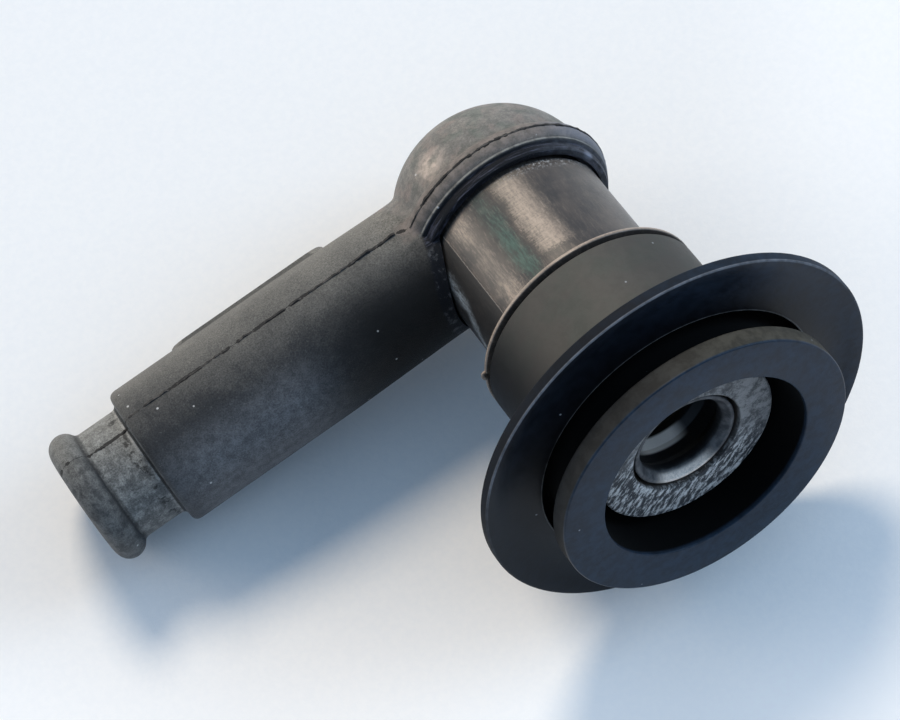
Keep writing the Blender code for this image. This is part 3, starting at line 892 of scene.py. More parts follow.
@dataclass(frozen=True)
class Phenolic(Finish):
    """Glossy dark brown moulding, rubbed pale in places, stained green, with painted highlights.

    Each turn is a stretch round the barrel in degrees, from the arm's side, and each
    span a stretch down the barrel in millimetres.
    """

    name: str = "phenolic_worn"
    deep: Colour = (0.040, 0.035, 0.032)
    warm: Colour = (0.070, 0.057, 0.048)
    # Pale rubbed phenolic, also laid on as painted highlights.
    rubbed: Colour = (0.42, 0.325, 0.252)
    green: Colour = (0.070, 0.145, 0.110)
    shade_side: Colour = (0.010, 0.010, 0.010)
    chalk: Colour = (0.60, 0.59, 0.57)
    crease_pale: Colour = (0.27, 0.295, 0.31)
    pit: Colour = (0.030, 0.032, 0.036)
    ash: Colour = (0.285, 0.278, 0.270)
    line: Colour = (0.24, 0.21, 0.185)
    first_highlight_turn: Span = (88.5, 103.0)
    first_highlight_span: Span = (-14.9, -3.4)
    second_highlight_turn: Span = (54.0, 63.0)
    second_highlight_span: Span = (-17.0, -2.6)
    groove_turn: Span = (82.5, 87.0)
    groove_span: Span = (-17.0, -3.5)
    stain_turn: Span = (71.5, 81.0)
    stain_span: Span = (-17.8, -3.9)
    foot_turn: Span = (68.0, 80.0)
    foot_span: Span = (-19.8, -18.0)
    shade_start: Span = (-110.0, -50.0)
    shade_end: Span = (44.0, 46.0)
    shade_span: Span = (-19.0, -3.0)
    crease_turn: float = 22.5
    crease_span: Span = (-16.0, -4.6)
    collar_span: Span = (-4.9, -3.2)
    flange_span: Span = (-19.95, -18.4)
    mark_turn: float = 45.8
    mark_span: Span = (-18.0, -3.5)

    def highlights_shade_and_stain(self, g: Graph, s: Scratches, first: Value) -> None:
        """Paint pale highlights on the barrel, with painted shade and a green stain between.

        Args:
            g: The material's nodes.
            s: The shared patterns.
            first: Mask of the brightest painted highlight.
        """
        _, _, z = g.parts
        worn_and_lit = g.total((s.crumb, 0.40), (s.scratch, 0.30), (s.streak, 0.30))
        scuff = g.ramp(worn_and_lit, 0.38, 0.58, 0.40, 1.0)
        # A second, dimmer painted highlight, streaked.
        second = g.times(g.band(s.edge_angle, *self.second_highlight_turn, 9.0),
                         g.band(g.total((z, 1.0), (s.streak, 3.0)), *self.second_highlight_span, 1.0))
        ends = g.ramp(g.maths("ABSOLUTE", g.total((z, 1.0), (1.0, 11.0))), 2.0, 6.0, 0.30, 1.0)
        second = g.times(second, g.times(ends, g.ramp(s.streak, 0.40, 0.58, 0.35, 1.0)))
        g.coat(self.rubbed, g.times(first, scuff), 0.90)
        g.coat(self.rubbed, second, 0.62)
        # A band of painted shade between the first highlight and the stain.
        groove = g.times(g.band(s.edge_angle, *self.groove_turn, 3.0),
                         g.band(z, *self.groove_span, 2.0))
        g.coat(self.shade_side, groove, 0.5)
        stain = g.times(g.band(s.edge_angle, *self.stain_turn, 7.0),
                        g.band(z, *self.stain_span, 2.4))
        stain = g.times(stain, g.ramp(z, -12.0, -6.0, 1.0, 0.55),
                        g.ramp(s.streak, 0.38, 0.60, 0.25, 1.0))
        foot = g.times(g.band(s.edge_angle, *self.foot_turn, 6.0), g.band(z, *self.foot_span, 0.7))
        stain = g.maths("MAXIMUM", stain, g.times(foot, 0.8))
        g.coat(self.green, stain, 0.66)

    def end_ring(self, g: Graph, s: Scratches, fibre: Value) -> Socket:
        """Return the broken, chalky face of the barrel's end.

        Args:
            g: The material's nodes.
            s: The shared patterns.
            fibre: The slanting strokes.

        Returns:
            The face's colour.
        """
        x, y, _ = g.parts
        strokes = g.ramp(g.total((fibre, 0.82), (s.crumb, 0.18)), 0.46, 0.60)
        lumps = g.total((g.noise(g.place, 0.8, 5.0, 0.75), 0.8), (s.fine, 0.2))
        plain = g.blend(g.ramp(lumps, 0.40, 0.58, 0.16, 1.0), self.pit, self.ash)
        across = g.total((x, 0.55), (y, -0.8), (s.cloud, 3.0), (1.0, -1.5))
        return g.blend(g.ramp(across, -3.0, 3.5), plain, g.blend(strokes, self.pit, self.chalk))

    def paint(self, g: Graph) -> None:
        """Lay the finish.

        Args:
            g: The material's nodes.
        """
        x, y, z = g.parts
        angle = g.times(g.maths("ARCTAN2", y, x), 180 / math.pi)
        round_about = g.join(g.times(angle, 0.05), g.away, g.times(z, 4.0))
        along = g.join(g.times(angle, 0.35), g.times(g.away, 0.3), g.times(z, 0.35))
        scratch = g.noise(round_about, 1.6, 3.0, 0.7)
        cloud = g.noise(g.place, 0.35, 4.0, 0.6)
        fine = g.noise(g.place, 4.0, 3.0, 0.7)
        wobble = g.total((cloud, 12.0), (fine, 9.0), (scratch, 5.0), (1.0, -13.0))
        s = Scratches(
            edge_angle=g.maths("ADD", angle, wobble),
            scratch=scratch,
            cloud=cloud,
            fine=fine,
            streak=g.noise(along, 2.0, 4.0, 0.74),
            crumb=g.noise(g.place, 3.2, 5.0, 0.8),
        )

        g.colour = g.blend(g.ramp(cloud, 0.35, 0.65), self.deep, self.warm)
        clean = g.ramp(x, -1.9, -5.6, 1.0, 0.40)
        g.coat(self.rubbed, g.ramp(s.streak, 0.48, 0.70, 0.0, 0.25), clean)
        # The first painted highlight, scuffed and streaked.
        first = g.times(g.band(s.edge_angle, *self.first_highlight_turn, 15.0),
                        g.band(g.total((z, 1.0), (s.crumb, 2.4)), *self.first_highlight_span, 0.8))
        first = g.times(first, g.ramp(z, -13.0, -6.0, 1.0, 0.76))
        self.highlights_shade_and_stain(g, s, first)

        in_shade = g.times(g.ramp(angle, *self.shade_start), g.fade(angle, *self.shade_end),
                           g.band(z, *self.shade_span, 0.8))
        g.coat(self.shade_side, in_shade, 0.85)
        # A pale bluish streak along the crease by the arm.
        past = g.maths("MAXIMUM", g.total((z, -1.0), (1.0, -11.0)), 0.0)
        off_crease = g.total((angle, 1.0), (past, 4.6), (wobble, 1.1), (1.0, -self.crease_turn))
        crease_streak = g.times(g.fade(g.maths("ABSOLUTE", off_crease), 0.5, 9.0),
                         g.band(z, *self.crease_span, 2.5))
        crumbled = g.total((s.crumb, 0.5), (s.streak, 0.5))
        crease_streak = g.times(crease_streak, g.ramp(crumbled, 0.40, 0.58, 0.05, 0.85))
        g.coat(self.crease_pale, crease_streak)
        dust = g.times(g.band(z, *self.collar_span, 1.2), g.ramp(s.crumb, 0.48, 0.66),
                       g.ramp(x, 1.2, -5.3, 0.10, 1.0))
        g.coat(self.chalk, dust, 0.6)
        on_flange = g.times(g.ramp(g.away, 11.7, 13.4), g.band(z, *self.flange_span, 0.4))
        g.coat(self.rubbed, on_flange, g.ramp(s.crumb, 0.35, 0.60, 0.48, 0.92))
        off_mark = g.maths("ABSOLUTE", g.total((angle, 1.0), (fine, 1.2), (1.0, -self.mark_turn)))
        mark = g.times(g.maths("LESS_THAN", off_mark, 0.30), g.band(z, *self.mark_span, 0.4),
                       g.ramp(fine, 0.30, 0.55, 0.45, 1.0))
        g.coat(self.line, mark)

        on_end = g.times(g.ramp(z, -39.6, -39.9), g.ramp(g.away, 6.7, 7.1))
        slant = g.join(g.total((x, 1.25), (y, 1.85)), g.total((x, -0.60), (y, 0.40)), z)
        fibre = g.noise(slant, 0.95, 4.0, 0.72)
        g.coat(self.end_ring(g, s, fibre), on_end)
        rough = g.total((scratch, 0.16), (s.crumb, 0.22), (first, 0.06), (on_end, 0.35),
                        (crease_streak, 0.3), (in_shade, 0.08), (1.0, 0.16))
        torn = g.times(on_end, fibre)
        g.relief(g.total((scratch, 0.25), (s.crumb, 0.35), (torn, 5.0), (mark, 0.8)), 0.06, 0.7)
        g.shade(rough, Specular_IOR_Level=0.5)


@dataclass(frozen=True)
class SealRubber(Finish):
    """Satin blue-black rubber of the seal, with a greyer sleeve and a few dust specks.

    Each span is a stretch down the barrel or out from it, in millimetres.
    """

    name: str = "seal_rubber_satin"
    black: Colour = (0.004, 0.005, 0.007)
    grey: Colour = (0.082, 0.075, 0.064)
    mossy: Colour = (0.076, 0.075, 0.063)
    bloom: Colour = (0.019, 0.034, 0.057)
    inner_edge_highlight: Colour = (0.125, 0.118, 0.110)
    rim_reflection: Colour = (0.120, 0.125, 0.138)
    deep: Colour = (0.003, 0.003, 0.004)
    pitch: Colour = (0.0006, 0.0006, 0.0006)
    side: Colour = (0.020, 0.018, 0.014)
    side_lit: Colour = (0.058, 0.051, 0.036)
    speck: Colour = (0.45, 0.46, 0.48)
    disc_span: Span = (-39.2, -36.2)
    disc_face: Span = (-39.4, -36.0)
    lip_side: Span = (-44.15, -41.6)
    groove_span: Span = (-41.85, -35.0)
    inner_edge: Span = (17.30, 17.58)
    inner_depth: Span = (-38.75, -38.05)
    brink_reach: Span = (24.22, 24.32)
    brink_depth: Span = (-38.75, -38.30)

    def on_sleeve(self, g: Graph, sleeve: Value) -> None:
        """Grey the sleeve, and paint shade on it towards its left and right.

        Args:
            g: The material's nodes.
            sleeve: Mask of the sleeve.
        """
        x, _, _ = g.parts
        moss = g.ramp(g.noise(g.place, 0.28, 4.0, 0.6), 0.42, 0.62)
        g.coat(g.blend(moss, self.grey, self.mossy), sleeve, 0.92)
        # Painted shade towards the sleeve's two sides.
        left = g.ramp(x, 3.4, 13.1, 0.0, 0.88)
        right = g.ramp(x, -3.5, -13.0, 0.0, 0.42)
        g.coat(self.black, sleeve, g.maths("MAXIMUM", left, right))

    def paint(self, g: Graph) -> None:
        """Lay the finish.

        Args:
            g: The material's nodes.
        """
        x, y, z = g.parts
        cloud = g.noise(g.place, 0.22, 3.0, 0.5)
        fine = g.noise(g.place, 6.0, 3.0, 0.65)
        smudge = g.noise(g.place, 0.7, 5.0, 0.72)
        bloomed = g.ramp(cloud, 0.30, 0.70, 0.50, 0.75)
        bloomed = g.total((bloomed, 1.0), (fine, 0.15), (1.0, -0.07))
        g.colour = g.blend(bloomed, self.black, self.bloom)

        sleeve = g.times(g.ramp(z, -34.6, -33.4), g.fade(g.away, 14.2, 14.8))
        disc = g.times(g.band(z, *self.disc_span, 0.2), g.ramp(g.away, 17.3, 17.6))
        # Painted shade on the disc, darker on the arm's side.
        g.coat(self.deep, disc, g.ramp(x, 4.0, -18.0, 0.80, 0.20))
        self.on_sleeve(g, sleeve)
        # The lip's side, browner, with painted light towards its right.
        brown = g.times(g.band(z, *self.lip_side, 0.3), g.ramp(g.away, 17.7, 17.95))
        round_lip = g.ramp(g.total((x, -1.0), (cloud, 14.0), (1.0, -7.0)), -4.0, 12.0)
        g.coat(g.blend(round_lip, self.side, self.side_lit), brown, 0.8)
        # Painted shade on the disc's face, darker towards the groove.
        g.coat(self.deep, g.ramp(g.away, 23.0, 17.0), g.band(z, *self.disc_face, 0.3))
        # Painted shade, nearly black, in the groove behind the disc and in the cavity.
        groove = g.times(g.band(z, *self.groove_span, 0.1), g.fade(g.away, 17.35, 17.5))
        cavity = g.times(g.ramp(z, -44.2, -43.7), g.fade(g.away, 13.0, 13.4))
        recess_shade = g.maths("MAXIMUM", g.times(groove, g.ramp(z, -33.6, -34.6)), cavity)
        g.coat(self.pitch, recess_shade)

        # A painted highlight along the disc's inner edge.
        edge = g.times(g.band(g.away, *self.inner_edge, 0.10), g.band(z, *self.inner_depth, 0.1))
        g.coat(self.inner_edge_highlight, edge, g.ramp(cloud, 0.38, 0.60, 0.25, 0.9))
        # A painted bluish reflection along the disc's rim, brighter on one side.
        brink = g.times(g.ramp(g.away, *self.brink_reach), g.band(z, *self.brink_depth, 0.1))
        bright = g.ramp(g.total((y, 0.06), (cloud, 2.2), (1.0, -0.7)), 0.2, 1.6, 0.06, 1.0)
        g.coat(self.rim_reflection, brink, bright)
        smudged = g.clouded(g.ramp(smudge, 0.36, 0.64), grey(0.74), grey(1.30))
        g.coat(smudged, g.total((sleeve, -0.72), (1.0, 0.95)))
        g.coat(self.speck, g.specks(0.40, 0.06, 0.30), 0.5)

        rim = g.ramp(g.away, 24.30, 24.45)
        rough = g.total((cloud, 0.12), (smudge, 0.24), (1.0, -0.12), (fine, 0.12), (sleeve, 0.14),
                        (brown, 0.26), (recess_shade, 0.70), (rim, 0.30), (1.0, 0.26))
        g.relief(g.total((fine, 0.5), (g.noise(g.place, 1.4, 2.0, 0.5), 0.5)), 0.035, 0.6)
        g.shade(rough, Specular_IOR_Level=0.15)


@dataclass(frozen=True)
class SleeveRubber(Finish):
    """Smooth dark grey rubber of the ribbed sleeve in the barrel's mouth."""

    name: str = "sleeve_rubber_smooth"
    dark: Colour = (0.030, 0.032, 0.036)
    pale: Colour = (0.120, 0.121, 0.125)
    painted_rib_light: Colour = (0.97, 0.84, 0.72)
    hollow: Colour = (0.006, 0.006, 0.007)
    rib_span: Span = (-35.6, -33.9)
    rib_light_place: Place = (1.9, -5.4, -34.7)
    mouth_light_place: Place = (1.6, -6.0, -40.0)

    def paint(self, g: Graph) -> None:
        """Lay the finish.

        Args:
            g: The material's nodes.
        """
        _, _, z = g.parts
        patch = g.ramp(g.noise(g.place, 0.8, 3.0, 0.6), 0.35, 0.70)
        inside = g.ramp(z, -39.5, -38.2)
        grit = g.noise(g.place, 3.5, 4.0, 0.7)
        g.colour = g.blend(patch, self.dark, self.pale)
        # Painted shade, nearly black, deeper inside the sleeve.
        g.coat(self.hollow, inside)
        # Painted light on a rib and at the mouth, where lamp light falls inside.
        rib = g.times(g.band(z, *self.rib_span, 0.4), g.spot(self.rib_light_place, 3.8, 2.2))
        mouth = g.times(g.ramp(z, -39.0, -39.5), g.spot(self.mouth_light_place, 4.6, 2.4))
        mouth = g.times(mouth, g.ramp(grit, 0.32, 0.62, 0.65, 1.0))
        g.coat(self.painted_rib_light, g.total((rib, 0.95), (mouth, 0.92)))
        g.relief(grit, 0.06, 0.6)
        rough = g.total((inside, -0.08), (grit, 0.1), (1.0, 0.48))
        g.shade(rough, Specular_IOR_Level=0.4)


class MetalKind(Enum):
    """The bare metals inside the cap: colour, roughness and strength of the tool marks."""

    BRASS = ((0.66, 0.48, 0.20), 0.30, 0.5)
    SPRING_STEEL = ((0.56, 0.57, 0.58), 0.26, 0.2)
    TIN_PLATE = ((0.70, 0.69, 0.66), 0.34, 0.3)


@dataclass(frozen=True)
class InnerMetal(Finish):
    """A turned or pressed metal, dulled in patches."""

    name: str
    kind: MetalKind
    dullness: float = 0.45

    def paint(self, g: Graph) -> None:
        """Lay the finish.

        Args:
            g: The material's nodes.
        """
        bright, smooth, marks = self.kind.value
        x, y, z = g.parts
        tarnish = g.ramp(g.noise(g.place, 0.6, 4.0, 0.6), 0.42, 0.70)
        dull = tuple(part * self.dullness for part in bright)
        rings = g.noise(g.join(g.times(x, 0.2), g.times(y, 0.2), z), 7.0, 2.0, 0.6)
        g.relief(rings, 0.02 * marks, 0.6)
        rough = g.total((tarnish, 0.22), (rings, 0.10), (1.0, smooth - 0.05))
        g.colour = g.blend(tarnish, bright, dull)
        g.shade(rough, Metallic=1.0)


@dataclass(frozen=True)
class RodCeramic(Finish):
    """Unglazed off-white ceramic of the resistor."""

    name: str = "rod_ceramic"
    clean: Colour = (0.74, 0.70, 0.62)
    stained: Colour = (0.50, 0.44, 0.36)

    def paint(self, g: Graph) -> None:
        """Lay the finish.

        Args:
            g: The material's nodes.
        """
        patch = g.ramp(g.noise(g.place, 0.7, 4.0, 0.6), 0.45, 0.75)
        g.relief(g.noise(g.place, 8.0, 3.0, 0.7), 0.03, 0.6)
        g.colour = g.blend(patch, self.clean, self.stained)
        g.shade(0.62)


@dataclass(frozen=True)
class WasherFibre(Finish):
    """Dark red pressed fibre of the washer over the terminal."""

    name: str = "washer_fibre"
    red: Colour = (0.34, 0.11, 0.065)
    brown: Colour = (0.16, 0.06, 0.04)

    def paint(self, g: Graph) -> None:
        """Lay the finish.

        Args:
            g: The material's nodes.
        """
        strand = g.noise(g.place, 3.0, 5.0, 0.75)
        g.relief(strand, 0.05, 0.8)
        g.colour = g.blend(g.ramp(strand, 0.4, 0.65), self.red, self.brown)
        g.shade(0.82)


@dataclass
class ElbowJacket:
    """Rubber moulding over the elbow: dome, bead and lip, arm, neck and rolled end."""

    dome_radius: float = 12.5
    dome_rise: float = 1.2
    dome_height: float = 11.2
    dome_fullness: float = 0.89
    bead_radius: float = 13.6
    bead_round: float = 1.8
    bead_depth: float = 0.6
    bead_top: float = 64.0
    bead_foot: float = -72.0
    lip_radius: float = 12.45
    lip_depth: float = 3.5
    edge_radius: float = 13.0
    edge_depth: float = 2.25
    collar_top: float = 1.2
    arm_radius: float = 8.9
    arm_root: float = 8.65
    taper_start: float = 13.0
    taper_end: float = 27.0
    taper_round: float = 4.0
    arm_reach: float = 49.8
    arm_edge: float = 0.9
    neck_radius: float = 7.1
    neck_end: float = 55.4
    roll_radius: float = 8.4
    arm_end: float = 59.3
    pad_height: float = 0.45
    pad_start: float = 19.4
    pad_end: float = 40.8
    pad_width: float = 11.0
    pad_corner: float = 2.2
    head_hollow: float = 10.9
    barrel_hollow: float = 11.5
    spigot_hollow: float = 6.3
    spigot_end: float = 26.3
    lead_radius: float = 3.6
    mouth_bevel: float = 0.8
    grain_size: float = 0.26
    crease_foot: float = -0.8
    crease_from_arm: float = 1.3
    crease_from_head: float = 1.6
    crease_passes: int = 10
    skin_passes: int = 3
    sharp_turn: float = 50

    def head(self) -> Thing:
        """Turn the dome with its bead and lip.

        Returns:
            The form.
        """
        middle = (self.bead_radius - self.bead_round, -self.bead_depth)
        profile = [(0.0, self.dome_rise + self.dome_height)]
        for across, up in arc((0.0, 0.0), 1.0, 87, 0, 24):
            reach = self.dome_radius * across ** self.dome_fullness
            profile.append((reach, self.dome_rise + self.dome_height * up))
        profile += arc(middle, self.bead_round, self.bead_top, self.bead_foot)
        profile += [(0.0, profile[-1][1])]
        return Bench.turned("elbow_jacket_rubber", profile, 160)

    def collar(self) -> Thing:
        """Turn the crisp lip under the bead.

        Returns:
            The form.
        """
        inner, lip, edge = self.barrel_hollow, self.lip_radius, self.edge_radius
        roof, top, foot = -self.collar_top, -self.edge_depth, -self.lip_depth
        corners = [
            (inner, roof, 0.1), (edge - 0.15, roof, 0.1), (edge, top, 0.08),
            (lip + 0.05, top - 0.22, 0.1), (lip, foot + 0.35, 0.0),
            (lip - 0.2, foot, 0.12), (inner, foot, 0.05),
        ]
        return Bench.turned("collar", rounded(corners, closed=True, steps=4), 192, closed=True)

    def arm(self) -> Thing:
        """Turn the arm with its neck and rolled end.

        Returns:
            The form.
        """
        roll = (self.arm_end - self.neck_end) / 2
        profile = rounded([
            (0.0, 0.0, 0.0), (self.arm_root, 0.0, 0.0),
            (self.arm_root, self.taper_start, self.taper_round),
            (self.arm_radius, self.taper_end, self.taper_round),
            (self.arm_radius, self.arm_reach, self.arm_edge),
            (self.neck_radius, self.arm_reach, 0.25), (self.neck_radius, self.neck_end, 0.3),
        ])
        profile.append((self.roll_radius - roll, self.neck_end))
        profile += arc((self.roll_radius - roll, self.neck_end + roll), roll, -80, 90)
        profile.append((0.0, self.arm_end))
        return Bench.turned("arm", profile, 128, Axis.ARM)

    def pad_field(self) -> Thing:
        """Model the block that the pad's outline is cut by.

        Returns:
            The block, with its four upright edges rounded.
        """
        bpy.ops.object.select_all(action="DESELECT")
        length = (self.pad_end - self.pad_start) * MM
        reach = (self.pad_end + self.pad_start) / 2 * MM
        bpy.ops.mesh.primitive_cube_add(
            size=1,
            location=(reach, 0, self.arm_radius * 0.8 * MM),
            scale=(length, self.pad_width * MM, self.arm_radius * MM),
        )
        block = Bench.started("pad_field")
        Bench.edit(block, "EDGE")
        bpy.ops.object.mode_set(mode="OBJECT")
        points = block.data.vertices
        for edge in block.data.edges:
            along = points[edge.vertices[1]].co - points[edge.vertices[0]].co
            edge.select = abs(along.z) > abs(along.x) + abs(along.y)
        bpy.ops.object.mode_set(mode="EDIT")
        bpy.ops.mesh.bevel(offset=self.pad_corner * MM, segments=8)
        bpy.ops.object.mode_set(mode="OBJECT")
        return block

    def pad(self) -> Thing:
        """Model the low raised field on the arm.

        Returns:
            The field.
        """
        block = self.pad_field()
        radius = self.arm_radius + self.pad_height
        start, end = self.pad_start - 1, self.pad_end + 1
        profile = [(0.0, start), (radius, start), (radius, end), (0.0, end)]
        pad = Bench.turned("pad", profile, 128, Axis.ARM)
        Bench.combine(pad, Cut.KEEP_SHARED, block)
        return pad

    def by_the_crease(self, point: Vector) -> bool:
        """Tell whether a point lies where the arm meets the dome.

        Args:
            point: The point, in millimetres in the cap's axes.

        Returns:
            Whether it does.
        """
        from_arm = abs(math.hypot(point.y, point.z) - self.arm_radius)
        from_head = abs(math.hypot(point.x, point.y) - self.dome_radius)
        close = from_arm < self.crease_from_arm and from_head < self.crease_from_head
        return point.x > 0 and point.z > self.crease_foot and close

    def hollow_out(self, jacket: Thing) -> None:
        """Cut the room for the barrel's head, its spigot and the lead.

        Args:
            jacket: The solid moulding.
        """
        inner, outer = self.head_hollow, self.barrel_hollow
        hollow = arc((0.0, 0.0), inner, 90, 0, 20)
        hollow[0] = (0.0, inner)
        foot = -self.lip_depth - self.arm_radius
        hollow += [(inner, -self.lip_depth + 0.6), (outer, -self.lip_depth), (outer, foot),
                   (0.0, foot)]
        Bench.combine(jacket, Cut.REMOVE, Bench.turned("head_hollow", hollow, 128))
        beyond = self.arm_end + self.mouth_bevel
        way = [
            (0.0, 0.0), (self.spigot_hollow, 0.0), (self.spigot_hollow, self.spigot_end),
            (self.lead_radius, self.spigot_end),
            (self.lead_radius, self.arm_end - self.mouth_bevel),
            (self.lead_radius + 2 * self.mouth_bevel, beyond), (0.0, beyond),
        ]
        Bench.combine(jacket, Cut.REMOVE, Bench.turned("lead_way", way, 96, Axis.ARM))

    def build(self, axes: CapAxes) -> Thing:
        """Model the moulding and give it its finish.

        Args:
            axes: Where the cap's axes lie.

        Returns:
            The finished piece.
        """
        jacket = self.head()
        Bench.combine(jacket, Cut.JOIN, self.arm())
        Bench.combine(jacket, Cut.JOIN, self.pad())
        Bench.modify(jacket, "REMESH", mode="VOXEL", voxel_size=self.grain_size * MM)
        Bench.soften(jacket, self.by_the_crease, self.crease_passes)
        Bench.modify(jacket, "SMOOTH", factor=0.5, iterations=self.skin_passes)
        self.hollow_out(jacket)
        jacket = Bench.joined([jacket, self.collar()])
        Bench.lay_down(jacket, axes, JacketRubber().material(axes), self.sharp_turn)
        return jacket


@dataclass
class MouldFlash:
    """Thin ragged fin of rubber along the jacket's parting line."""

    jacket: ElbowJacket
    height: float = 0.12
    thickness: float = 0.24
    ragged: float = 0.30
    sunk: float = 0.4
    bead_sunk: float = 0.35
    rows: int = 5
    tear_size: float = 0.0011
    bead_tear_size: float = 0.0012

    def clouds(self, name: str, size: float) -> bpy.types.Texture:
        """Make the pattern that a fin is torn by.

        Args:
            name: The pattern's name.
            size: Size of its lumps, in metres.

        Returns:
            The pattern.
        """
        pattern = bpy.data.textures.new(name, "CLOUDS")
        pattern.noise_scale = size
        pattern.noise_depth = 3
        return pattern

    def ruffle(
        self,
        fin: Thing,
        pattern: bpy.types.Texture,
        direction: str,
        strength: float,
        middle: float,
    ) -> None:
        """Push a fin's points one way by a pattern, about the tone at which a point stays."""
        Bench.modify(fin, "DISPLACE", texture=pattern, direction=direction, strength=strength,
                     mid_level=middle, texture_coords="LOCAL")

    def strip(self, name: str, start: float, end: float, radius: float, side: int) -> Thing:
        """Model one straight fin along the arm.

        Args:
            name: The fin's name.
            start: Reach at which it starts.
            end: Reach at which it ends.
            radius: Radius of the surface it stands on.
            side: 1 for the upper side and -1 for the lower.

        Returns:
            The fin in the cap's axes.
        """
        Bench.clear()
        length = end - start
        depth = self.height + self.sunk
        bpy.ops.mesh.primitive_grid_add(
            x_subdivisions=int(length * self.rows), y_subdivisions=3, size=MM)
        fin = Bench.started(name)
        Bench.edit(fin)
        bpy.ops.mesh.select_all(action="SELECT")
        bpy.ops.transform.resize(value=(length, depth, 1), center_override=(0, 0, 0))
        middle = side * (radius + self.height - depth / 2)
        bpy.ops.transform.translate(value=((start + end) / 2 * MM, middle * MM, 0))
        bpy.ops.object.mode_set(mode="OBJECT")
        pattern = self.clouds(fin.name, self.tear_size)
        self.ruffle(fin, pattern, "Y", self.ragged * 2.4 * MM * side, 0.62)
        self.ruffle(fin, pattern, "Z", self.ragged * MM, 0.5)
        Bench.modify(fin, "SOLIDIFY", thickness=self.thickness * MM, offset=0.0)
        return fin

    def ring(self) -> Thing:
        """Model the fin round the bead's crest.

        Returns:
            The fin in the cap's axes.
        """
        shape = self.jacket
        inner = shape.bead_radius - self.bead_sunk
        outer = shape.bead_radius + self.height * 0.7
        half = self.thickness / 2
        low, high = -shape.bead_depth - half, -shape.bead_depth + half
        profile = [(inner, high), (outer, high), (outer, low), (inner, low)]
        fin = Bench.turned("bead_flash", profile, 320, closed=True)
        pattern = self.clouds("bead_flash", self.bead_tear_size)
        self.ruffle(fin, pattern, "Z", self.ragged * 1.2 * MM, 0.5)
        self.ruffle(fin, pattern, "NORMAL", self.ragged * 0.9 * MM, 0.6)
        return fin

    def build(self, axes: CapAxes) -> Thing:
        """Model every fin as one piece and give it its finish.

        Args:
            axes: Where the cap's axes lie.

        Returns:
            The finished piece.
        """
        shape = self.jacket
        root = math.sqrt(shape.bead_radius ** 2 - shape.arm_radius ** 2) + 1.9
        fins = [self.ring()]
        for side, where in ((1, "upper"), (-1, "lower")):
            fins.append(self.strip(f"arm_flash_{where}", root, shape.arm_reach - 0.7,
                                   shape.arm_radius, side))
            fins.append(self.strip(f"neck_flash_{where}", shape.arm_reach, shape.neck_end,
                                   shape.neck_radius, side))
        flash = Bench.joined(fins)
        flash.name = "jacket_flash"
        Bench.lay_down(flash, axes, FlashRubber().material(axes))
        return flash


